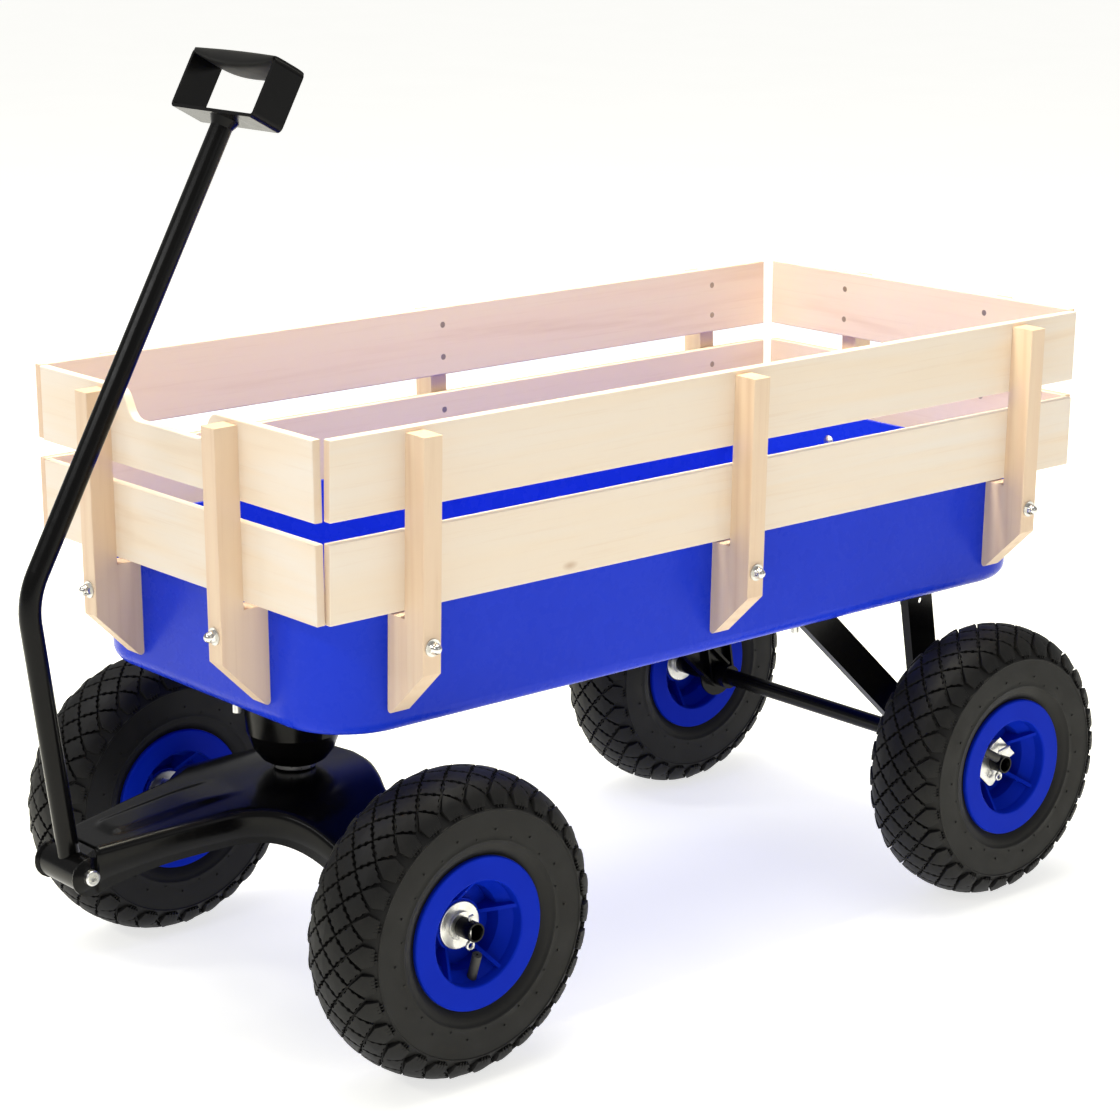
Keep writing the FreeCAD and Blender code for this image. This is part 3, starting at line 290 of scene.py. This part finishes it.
CREAM = (0.82, 0.74, 0.66)
CREAM_DARK = (0.70, 0.52, 0.37)
CREAM_TINT = (0.83, 0.70, 0.56)
# A warmer, darker copy of the cream for the far boards: painted shade and warm bounce on their inner faces
PAINTED_SHADE = (0.83, 0.67, 0.50)
PAINTED_SHADE_DARK = (0.68, 0.46, 0.31)
PAINTED_SHADE_TINT = (0.83, 0.64, 0.48)
TAN = (0.80, 0.63, 0.46)
TAN_DARK = (0.60, 0.40, 0.25)
TAN_TINT = (0.76, 0.57, 0.41)

MATERIALS = {
    "board_side": wood("board_wood_long", 1, CREAM, CREAM_DARK, CREAM_TINT),
    "board_end": wood("board_wood_short", 0, CREAM, CREAM_DARK, CREAM_TINT),
    # The far boards' wood, with painted shade and warm bounce in its colour
    "board_side_painted_shade": wood("board_wood_long_painted_shade", 1, PAINTED_SHADE, PAINTED_SHADE_DARK, PAINTED_SHADE_TINT),
    "board_end_painted_shade": wood("board_wood_short_painted_shade", 0, PAINTED_SHADE, PAINTED_SHADE_DARK, PAINTED_SHADE_TINT),
    "post": wood("post_wood", 2, TAN, TAN_DARK, TAN_TINT),
    "tray": blue_paint("tray_paint", 0.26, 0.25, 0.0022),
    "rim": blue_moulding("rim_plastic"),
    "black": black_enamel("black_paint"),
    "grip": black_plastic("grip_plastic"),
    "tyre": tyre_rubber("tyre_rubber"),
    "tube": tube_rubber("tube_rubber"),
    "zinc": plated("zinc_plate", (0.70, 0.70, 0.69), 0.30, (0.56, 0.55, 0.50)),
    "nail": plated("dull_nail", (0.50, 0.40, 0.30), 0.55, (0.42, 0.32, 0.22)),
    "nickel": plated("nickel_plate", (0.74, 0.72, 0.69), 0.18, (0.58, 0.55, 0.50)),
}


# ------------------------------------------------------------------ mesh helpers

def add_piece(name, verts, faces, material, body, smooth=35.0, stands_for=()):
    """A mesh object, shaded smooth except across sharp edges, that rides on a body."""
    mesh = bpy.data.meshes.new(name)
    mesh.from_pydata([tuple(vert) for vert in verts], [], [tuple(face) for face in faces])
    mesh.validate()
    return add_mesh(name, mesh, material, body, smooth, stands_for)


def add_mesh(name, mesh, material, body, smooth=35.0, stands_for=()):
    mesh.polygons.foreach_set("use_smooth", [True] * len(mesh.polygons))
    mesh.set_sharp_from_angle(angle=math.radians(smooth))
    mesh.materials.clear()
    mesh.materials.append(MATERIALS[material])
    piece = bpy.data.objects.new(name, mesh)
    bpy.context.scene.collection.objects.link(piece)
    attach(piece, body)
    if stands_for:
        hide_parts(*stands_for)
    return piece


class Builder:
    """Gathers vertices and faces of several forms into one mesh."""

    def __init__(self):
        self.verts = []
        self.faces = []

    def add(self, verts, faces):
        base = len(self.verts)
        self.verts.extend(verts)
        self.faces.extend([tuple(base + number for number in face) for face in faces])

    def lathe(self, profile, steps, closed=True):
        """Turns (x, r) points about the X axis."""
        base = len(self.verts)
        count = len(profile)
        for step in range(steps):
            angle = 2 * math.pi * step / steps
            for x, r in profile:
                self.verts.append((x, r * math.cos(angle), r * math.sin(angle)))
        spans = count if closed else count - 1
        for step in range(steps):
            after = (step + 1) % steps
            for number in range(spans):
                nearby = (number + 1) % count
                self.faces.append((
                    base + step * count + number,
                    base + after * count + number,
                    base + after * count + nearby,
                    base + step * count + nearby,
                ))


def smooth_profile(points, per_span):
    """Catmull-Rom points through a list of 2D points, end points kept."""
    found = []
    padded = [points[0]] + list(points) + [points[-1]]
    for number in range(len(points) - 1):
        a, b, c, d = [np.array(padded[number + step], float) for step in range(4)]
        for step in range(per_span):
            t = step / per_span
            found.append(tuple(0.5 * (2 * b + (c - a) * t + (2 * a - 5 * b + 4 * c - d) * t * t
                                      + (3 * b - a - 3 * c + d) * t ** 3)))
    found.append(tuple(points[-1]))
    return found


# ------------------------------------------------------------------ tyres

OUTER_HALF = smooth_profile([
    (0, 133.7), (10, 132.9), (20, 130.6), (28, 126.6), (34.2, 121.2), (38.4, 114.8),
    (40.8, 107.5), (41.7, 99.5), (41.6, 91), (40.6, 82.5), (38.8, 76), (36.8, 71.5),
], 8)


class Section:
    """The tyre's outer section as a function of the distance along it from the crown."""

    def __init__(self, points):
        self.points = np.array(points)
        steps = np.linalg.norm(np.diff(self.points, axis=0), axis=1)
        self.along = np.concatenate([[0.0], np.cumsum(steps)])

    def place(self, distance):
        x = np.interp(distance, self.along, self.points[:, 0])
        r = np.interp(distance, self.along, self.points[:, 1])
        return x, r

    def at(self, distance):
        """The point (x, r) there and the outward direction, for either side of the crown."""
        s = abs(distance)
        x, r = self.place(s)
        ahead_x, ahead_r = self.place(s + 1.0)
        behind_x, behind_r = self.place(max(s - 1.0, 0.0))
        dx, dr = ahead_x - behind_x, ahead_r - behind_r
        size = math.hypot(dx, dr)
        sign = -1.0 if distance < 0 else 1.0
        return sign * x, r, sign * -dr / size, dx / size

    def point(self, around, distance, lift):
        """A point at an angle round the tyre, lifted from its outer surface."""
        x, r, normal_x, normal_r = self.at(distance)
        r = r + lift * normal_r
        return (x + lift * normal_x) * MM, r * math.cos(around) * MM, r * math.sin(around) * MM


def tread_block(build, section, outline, phase, top, crown):
    """A block that stands out of the groove floor: outline in (angle, distance) round its middle."""
    middle_angle = sum(angle for angle, _ in outline) / len(outline)
    middle = sum(distance for _, distance in outline) / len(outline)
    rings = ((1.04, -GROOVE_DEPTH - 1.2), (1.0, -0.5), (0.965, 0.0), (0.55, crown))
    verts = []
    for grow, lift in rings:
        for angle, distance in outline:
            a = middle_angle + (angle - middle_angle) * grow
            s = middle + (distance - middle) * grow
            verts.append(section.point(a + phase, s, lift + top))
    verts.append(section.point(middle_angle + phase, middle, crown + top))
    count = len(outline)
    faces = []
    for ring in range(len(rings) - 1):
        for number in range(count):
            after = (number + 1) % count
            faces.append((ring * count + number, ring * count + after,
                          (ring + 1) * count + after, (ring + 1) * count + number))
    last = (len(rings) - 1) * count
    for number in range(count):
        faces.append((last + number, last + (number + 1) % count, len(verts) - 1))
    faces.append(tuple(reversed(range(count))))
    build.add(verts, faces)


def serrated(points, depth, steps):
    """A closed outline whose sides are broken by small square steps."""
    outline = []
    for number, start in enumerate(points):
        end = points[(number + 1) % len(points)]
        run = (end[0] - start[0], end[1] - start[1])
        length = math.hypot(*run)
        inwards = (-run[1] / length * depth, run[0] / length * depth)
        for step in range(steps):
            shift = inwards if step % 2 else (0.0, 0.0)
            for t in ((step + 0.04) / steps, (step + 0.96) / steps):
                outline.append((start[0] + run[0] * t + shift[0], start[1] + run[1] * t + shift[1]))
    return outline


def tread(build, section):
    """Diamond blocks in staggered rows over the crown, and lugs on both shoulders."""
    pitch = 2 * math.pi / TREAD_ROWS
    per_mm = 1.0 / TYRE_RADIUS
    half_pitch = pitch / 2 / per_mm
    half_width = 12.2
    half_length = half_pitch - 1.7
    diamond = [(half_length, 0), (0, half_width), (-half_length, 0), (0, -half_width)]
    diamond = serrated(diamond, 0.9, 5)
    for row in range(-2, 3):
        centre = row * 13.0
        for number in range(TREAD_ROWS):
            phase = pitch * (number + 0.5 * (row % 2))
            outline = [(u * per_mm, centre + v) for u, v in diamond]
            tread_block(build, section, outline, phase, 0.0, 0.15)
    for side in (-1, 1):
        for number in range(TREAD_ROWS):
            phase = pitch * (number + 0.5)
            lug = [(0, LUG_START), (-5.2, 32.6), (-10.6, 38.4), (-9.8, 43), (-8.6, LUG_END),
                   (8.6, LUG_END), (9.8, 43), (10.6, 38.4), (5.2, 32.6)]
            outline = [(u * per_mm, side * v) for u, v in lug]
            if side < 0:
                outline.reverse()
            tread_block(build, section, outline, phase, 1.4, 0.3)
            for shift in (-3.6, 0.0, 3.6):
                rib = [(shift - 0.45, 44), (shift - 0.45, 51.0), (shift + 0.45, 51.0), (shift + 0.45, 44)]
                outline = [(u * per_mm, side * v) for u, v in rib]
                if side < 0:
                    outline.reverse()
                tread_block(build, section, outline, phase, 1.6, 0.1)


def tyre_profile():
    """The closed section of the carcass: groove floor under the tread, side rings and beads."""
    section = Section(OUTER_HALF)
    half = []
    lifts = [(s, -GROOVE_DEPTH) for s in (0, 8, 16, 24, 31)]
    lifts += [(38, -3.4), (43, -2.6), (47, -1.4), (50.5, -0.4), (51.6, 0.0), (52.0, 0.6), (53.0, 0.6)]
    lifts += [(53.6, -0.2), (57, -0.7), (62, -0.9), (66, -0.9), (70, -0.8), (74, -0.5), (78.4, -0.2)]
    lifts += [(79.0, 0.2), (80.2, 0.2), (80.8, -0.2), (84, -0.2), (87, -0.1)]
    for s, lift in lifts:
        x, r, normal_x, normal_r = section.at(s)
        half.append((x + lift * normal_x, r + lift * normal_r))
    half += [(36.6, 72.0), (35.2, 70.0), (33.7, 67.6), (33.7, 51.8), (27, 51.8), (27, 61)]
    half += [(30, 70), (34.6, 84), (35.6, 99), (32, 112), (20, 121), (8, 124)]
    full = [(-x, r) for x, r in reversed(half)] + half[1:]
    full = full[:-1] if abs(full[0][0] - full[-1][0]) < 0.01 else full
    return [(x * MM, r * MM) for x, r in full]


def vent_pips(build, section):
    """Small rubber nubs that the mould's vents leave round the sidewall."""
    for side in (-1, 1):
        for number in range(28):
            around = 2 * math.pi * number / 28
            distance = side * (76.0 if number % 2 else 70.0)
            outline = []
            for corner in range(8):
                angle = 2 * math.pi * corner / 8
                outline.append((1.0 * math.cos(angle) / 84.0, distance + 1.0 * math.sin(angle)))
            tread_block(build, section, outline, around, 0.1, 0.15)


def tyre_mesh():
    build = Builder()
    section = Section(OUTER_HALF)
    build.lathe(tyre_profile(), 180)
    tread(build, section)
    vent_pips(build, section)
    mesh = bpy.data.meshes.new("tyre")
    mesh.from_pydata(build.verts, [], build.faces)
    mesh.validate()
    normals_outwards(mesh)
    return mesh


def normals_outwards(mesh):
    form = bmesh.new()
    form.from_mesh(mesh)
    bmesh.ops.recalc_face_normals(form, faces=form.faces)
    form.to_mesh(mesh)
    form.free()


def placed_copy(mesh, name, matrix):
    copy = mesh.copy()
    copy.name = name
    copy.transform(matrix)
    if matrix.determinant() < 0:
        copy.flip_normals()
    return copy


def wheel_matrix(corner):
    """From a wheel made about the origin with +X outwards to its corner of the wagon."""
    outwards = 0.0 if corner.endswith("left") else math.pi
    return Matrix.Translation(WHEELS[corner]) @ Matrix.Rotation(outwards, 4, "Z")


def make_tyres():
    mesh = tyre_mesh()
    for corner in WHEELS:
        turn = Matrix.Rotation(0.4 * sum(map(ord, corner)), 4, "X")
        name = "tyre_" + corner
        copy = placed_copy(mesh, name, wheel_matrix(corner) @ turn)
        add_mesh(name + "_detail", copy, "tyre", "wheel_" + corner, 32.0, (name,))


# ------------------------------------------------------------------ bogie pressing

BOGIE_SIDE = smooth_profile([(31, -226), (41, -175.5), (51, -125), (58, -97), (73, -74), (96, -59),
                             (130, -47.5), (168, -36)], 8)
BOGIE_BACK = smooth_profile([(168, 35), (140, 36), (118, 37), (84, 41), (56, 53), (28, 64), (0, 69)], 6)
ARCH = smooth_profile([(0, 212), (36, 212), (60, 209.5), (80, 204), (100, 196.5), (120, 186), (140, 172),
                       (170, 143)], 8)
FOLD = 7.0
PANEL_LIFT = 3.0
SHEET = 2.4
AXLE_HEIGHT = 131.0             # of the axle, where the heights above were taken


def step_up(value, low, high):
    t = min(1.0, max(0.0, (value - low) / (high - low)))
    return t * t * (3 - 2 * t)


def panel_height(x, y):
    """The raised spine on the tongue: a rounded toe at the front, fading out before the kingpin."""
    half = 20.0 + (y + 198.0) * 0.043
    corner = 14.0
    across = abs(x) - (half - corner)
    along = (corner - 202.0) - y
    inside = corner - max(across, along)
    if across > 0 and along > 0:
        inside = corner - math.hypot(across, along)
    return PANEL_LIFT * step_up(inside, 0.0, 7.0) * (1.0 - step_up(y, -125.0, -62.0))


def bogie_height(x, y):
    """Height of the pressing's top in millimetres above the floor, before the wagon's lift."""
    arch = np.interp(abs(x), [point[0] for point in ARCH], [point[1] for point in ARCH])
    ramp = 191.0 + (y + 263.0) * 0.104
    blend = 4.0
    lower = min(arch, ramp)
    if abs(arch - ramp) / blend <= 4:
        both = math.exp(50 - arch / blend) + math.exp(50 - ramp / blend)
        lower = 50 * blend - blend * math.log(both)
    return lower + panel_height(x, y)


def flange_depth(y):
    """The side flange is 29.5 deep, and deeper towards the pivot ears."""
    return 29.5 + 9.0 * (max(0.0, -150.0 - y) / 76.0) ** 2


def outward(points, number):
    """The direction square to a line of points, to its right."""
    before = points[max(0, number - 1)]
    after = points[min(len(points) - 1, number + 1)]
    run = Vector((after[0] - before[0], after[1] - before[1]))
    run.normalize()
    return run.y, -run.x


def folded_edge(build, points):
    """The rolled fold and the flange below it along one edge. Returns the fold's inner points."""
    steps = 6
    rings = []
    for number, (x, y) in enumerate(points):
        out_x, out_y = outward(points, number)
        ring = []
        for step in range(steps + 1):
            angle = math.pi / 2 * step / steps
            inset = FOLD * (1 - math.sin(angle))
            px, py = x - out_x * inset, y - out_y * inset
            ring.append((px, py, bogie_height(px, py) - FOLD * (1 - math.cos(angle))))
        ring.append((x, y, bogie_height(x, y) - flange_depth(y)))
        rings.append(ring)
    count = steps + 2
    faces = []
    for number in range(len(rings) - 1):
        for step in range(count - 1):
            first = number * count + step
            faces.append((first, first + 1, first + count + 1, first + count))
    build.add([point for ring in rings for point in ring], faces)
    return [ring[0][:2] for ring in rings]


def inside_polygon(x, y, polygon):
    found = False
    for number, (ax, ay) in enumerate(polygon):
        bx, by = polygon[number - 1]
        if (ay > y) != (by > y) and x < (bx - ax) * (y - ay) / (by - ay) + ax:
            found = not found
    return found


def bogie_top(build, polygon):
    """The top sheet: a fine grid inside its outline, round the kingpin's hole."""
    hole = [(6.2 * math.cos(math.radians(a)), 6.2 * math.sin(math.radians(a))) for a in range(0, 360, 20)]
    spots = list(polygon) + hole
    edges = [(number, (number + 1) % len(polygon)) for number in range(len(polygon))]
    grid = 3.6
    for column in range(int(340 / grid)):
        for row in range(int(300 / grid)):
            x, y = -168.0 + column * grid, -226.0 + row * grid
            if math.hypot(x, y) > 8.0 and inside_polygon(x, y, polygon):
                near = min((x - px) ** 2 + (y - py) ** 2 for px, py in polygon)
                if near > 3.0:
                    spots.append((x, y))
    flat = delaunay_2d_cdt([Vector(spot) for spot in spots], edges, [], 0, 1e-5)
    verts = [(v.x, v.y, bogie_height(v.x, v.y)) for v in flat[0]]
    faces = []
    for face in flat[2]:
        x = sum(verts[corner][0] for corner in face) / len(face)
        y = sum(verts[corner][1] for corner in face) / len(face)
        if math.hypot(x, y) > 6.2 and inside_polygon(x, y, polygon):
            faces.append(face)
    build.add(verts, faces)


def pivot_ear(build, side):
    """The round ear that carries the flange on round the handle's pivot."""
    ear, pivot_y, pivot_z = 17.0, -233.0, 172.0
    verts = []
    for y in (-250.0, -249.4, -247.5, -244.0, -239.0, -233.0, -226.0):
        reach = math.sqrt(max(0.0, ear ** 2 - (y - pivot_y) ** 2))
        verts.extend([(side * 31.0, y, pivot_z + reach), (side * 31.0, y, pivot_z - reach)])
    faces = []
    for number in range(6):
        corners = (2 * number, 2 * number + 1, 2 * number + 3, 2 * number + 2)
        faces.append(corners if side > 0 else tuple(reversed(corners)))
    build.add(verts, faces)


def end_plates():
    """The plates across each arm that carry the axle stub."""
    build = Builder()
    for side in (-1, 1):
        for x in (126.0, 165.4):
            low, high = 117.0, bogie_height(x + 2.5, 0) - 2.6
            sheet = (side * x, side * (x + SHEET))
            verts = [(px, py, z) for px in sheet for py in (-33.0, 32.0) for z in (low, high)]
            faces = [(0, 1, 3, 2), (4, 6, 7, 5), (0, 4, 5, 1)]
            faces += [(2, 3, 7, 6), (0, 2, 6, 4), (1, 5, 7, 3)]
            build.add(verts, faces)
    return build


def to_frame(verts):
    """From millimetres about the kingpin's line to the frame."""
    lift = WHEELS["front_left"].z - AXLE_HEIGHT * MM
    return [(KINGPIN.x + x * MM, KINGPIN.y + y * MM, z * MM + lift) for x, y, z in verts]


def make_bogie():
    build = Builder()
    back = list(BOGIE_BACK) + [(-x, y) for x, y in reversed(BOGIE_BACK[:-1])]
    left = [(-x, y) for x, y in reversed(BOGIE_SIDE)]
    polygon = folded_edge(build, BOGIE_SIDE) + folded_edge(build, back) + folded_edge(build, left)
    bogie_top(build, polygon)
    for side in (1, -1):
        pivot_ear(build, side)
    form = bmesh.new()
    mesh = bpy.data.meshes.new("bogie")
    mesh.from_pydata(to_frame(build.verts), [], build.faces)
    form.from_mesh(mesh)
    bmesh.ops.remove_doubles(form, verts=form.verts, dist=0.00005)
    bmesh.ops.recalc_face_normals(form, faces=form.faces)
    top = max(form.faces, key=lambda face: face.calc_center_median().z)
    if top.normal.z < 0:
        bmesh.ops.reverse_faces(form, faces=form.faces)
    form.to_mesh(mesh)
    form.free()
    piece = add_mesh("bogie_pressing", mesh, "black", "bogie", 42.0, ("bogie_frame",))
    sheet = piece.modifiers.new("sheet", "SOLIDIFY")
    sheet.thickness = SHEET * MM
    sheet.offset = -1.0
    plates = end_plates()
    add_piece("bogie_end_plates", to_frame(plates.verts), plates.faces, "black", "bogie")


# ------------------------------------------------------------------ grip moulding

UPPER_RUN = Vector((0.0, math.sin(UPPER_LEAN), math.cos(UPPER_LEAN))) * UPPER_LENGTH
LOWER_RUN = Vector((0.0, -math.tan(LOWER_LEAN), 1.0)) * BEND_HEIGHT
GRIP_FOOT = PIVOT + (LOWER_RUN + UPPER_RUN) * MM
GRIP_HALF = 56.8
GRIP_HALF_WIDTH = 17.3


def grip_ring(x, steps):
    """One rounded section of the moulding: thick in the middle, thin where it meets the loop.

    Heights are in millimetres above the upper end of the handle tube.
    """
    swell = (1.0 - (x / GRIP_HALF) ** 2) ** 0.8 if abs(x) < GRIP_HALF else 0.0
    top, bottom = 55.2 + 1.8 * swell, 50.0 - 8.4 * swell
    middle, half = (top + bottom) / 2, (top - bottom) / 2
    ring = []
    for number in range(steps):
        angle = math.tau * number / steps
        across, up = math.cos(angle), math.sin(angle)
        y = GRIP_HALF_WIDTH * math.copysign(abs(across) ** 0.5, across)
        z = middle + half * math.copysign(abs(up) ** 0.5, up)
        ring.append(Vector((x, y, z)) * MM)
    return ring


def make_grip():
    steps, stations = 40, 37
    lean = Matrix.Translation(GRIP_FOOT) @ Matrix.Rotation(-UPPER_LEAN, 4, "X")
    verts = []
    for number in range(stations):
        x = -GRIP_HALF * math.cos(math.pi * number / (stations - 1))
        verts += [lean @ point for point in grip_ring(x, steps)]
    faces = [tuple(reversed(range(steps))), tuple(range((stations - 1) * steps, stations * steps))]
    for station in range(stations - 1):
        for number in range(steps):
            first, second = station * steps + number, station * steps + (number + 1) % steps
            faces.append((first, second, second + steps, first + steps))
    replaced = ("grip_cover",)
    piece = add_piece("grip_moulding", verts, faces, "grip", "handle", 40.0, replaced)
    normals_outwards(piece.data)


# ------------------------------------------------------------------ carried-over nodes

def finish_nodes():
    """Gives every CAD node its material."""
    # The far boards, board_right and board_rear, take the board wood with painted shade and warm bounce
    kinds = {
        "board_left": "board_side", "board_right": "board_side_painted_shade", "board_front": "board_end",
        "board_rear": "board_end_painted_shade", "post_left": "post", "post_right": "post",
        "post_front": "post", "post_rear": "post", "tray": "tray", "rim_": "rim",
        "tyre_": "tyre", "inner_tube": "tube", "bearings": "zinc", "bogie": "black", "bolster": "black",
        "rear_bracket": "black", "rear_axle": "black", "front_axle": "black", "handle_tube": "black",
        "pivot_barrel": "black", "grip_loop": "black", "grip_cover": "grip", "acorn": "nickel",
        "board_screws": "nail",
    }
    for name, node in frame["nodes"].items():
        found = [kind for start, kind in kinds.items() if name.startswith(start)]
        material = MATERIALS[found[0] if found else "zinc"]
        for slot_number in range(len(node.material_slots)):
            node.material_slots[slot_number].material = material
        if not node.material_slots:
            node.data.materials.append(material)


# ------------------------------------------------------------------ floor, light and camera

def make_stage():
    build = Builder()
    size = 40.0
    build.add([(-size, -size, 0), (size, -size, 0), (size, size, 0), (-size, size, 0)], [(0, 1, 2, 3)])
    mesh = bpy.data.meshes.new("floor")
    mesh.from_pydata(build.verts, [], build.faces)
    floor = bpy.data.objects.new("floor", mesh)
    bpy.context.scene.collection.objects.link(floor)
    shader = Shader("floor_white", Roughness=0.85, IOR=1.3)
    speckle = shader.noise(shader.position, 3.0, 3.0)
    shader.colour(shader.ramp(speckle, [(0.3, (0.78, 0.77, 0.68)), (0.7, (0.81, 0.80, 0.71))]))
    shader.principled.inputs["Emission Color"].default_value = (1, 1, 1, 1)
    shader.principled.inputs["Emission Strength"].default_value = 0.69
    mesh.materials.append(shader.material)


def make_light(name, place, target, size, power, colour=(1.0, 1.0, 1.0)):
    data = bpy.data.lights.new(name, "AREA")
    data.shape = "RECTANGLE"
    data.size, data.size_y = size
    data.energy = power
    data.color = colour
    light = bpy.data.objects.new(name, data)
    light.location = place
    direction = Vector(target) - Vector(place)
    light.rotation_euler = direction.to_track_quat("-Z", "Y").to_euler()
    bpy.context.scene.collection.objects.link(light)


def make_lights():
    world = bpy.data.worlds.new("studio")
    bpy.context.scene.world = world
    world.use_nodes = True
    background = world.node_tree.nodes["Background"]
    background.inputs["Color"].default_value = (1.0, 1.0, 1.0, 1.0)
    background.inputs["Strength"].default_value = 0.35
    make_light("side", (3.6, 0.2, 1.9), (0, 0, 0.4), (1.8, 1.6), 6)
    make_light("front", (0.12, -3.7, 2.9), (0, -0.4, 0.6), (3.2, 0.3), 31)
    make_light("edge", (-1.9, -1.9, 3.6), (0, -0.2, 0.3), (0.5, 1.4), 26)
    make_light("top", (-0.3, 0.2, 3.8), (0, 0, 0.3), (3.4, 3.4), 80)
    make_light("inside", (0.04, 0.05, 1.6), (-0.2, 0.05, 0.45), (1.1, 0.3), 30, (1.0, 0.95, 0.72))


def make_camera():
    """Looks from about 50 degrees round to the wagon's left, 14 above the horizon."""
    azimuth, elevation, roll = math.radians(50.56), math.radians(13.91), math.radians(-0.24)
    back = Vector((math.sin(azimuth) * math.cos(elevation), -math.cos(azimuth) * math.cos(elevation),
                   math.sin(elevation)))
    right = Vector((math.cos(azimuth), math.sin(azimuth), 0))
    up = back.cross(right)
    turn = Matrix((right, up, back)).transposed() @ Matrix.Rotation(roll, 3, "Z")
    data = bpy.data.cameras.new("camera")
    data.sensor_width = 36.0
    data.lens = 94.67
    data.shift_x = 0.0633
    data.shift_y = -0.0351
    data.clip_start, data.clip_end = 0.1, 200.0
    camera = bpy.data.objects.new("camera", data)
    camera.matrix_world = Matrix.Translation(MIDDLE + Vector((2.0329, -1.7841, 0.7574))) @ turn.to_4x4()
    bpy.context.scene.collection.objects.link(camera)
    bpy.context.scene.camera = camera


finish_nodes()
make_tyres()
make_bogie()
make_grip()
make_stage()
make_lights()
make_camera()
bpy.context.scene.view_settings.view_transform = "Standard"
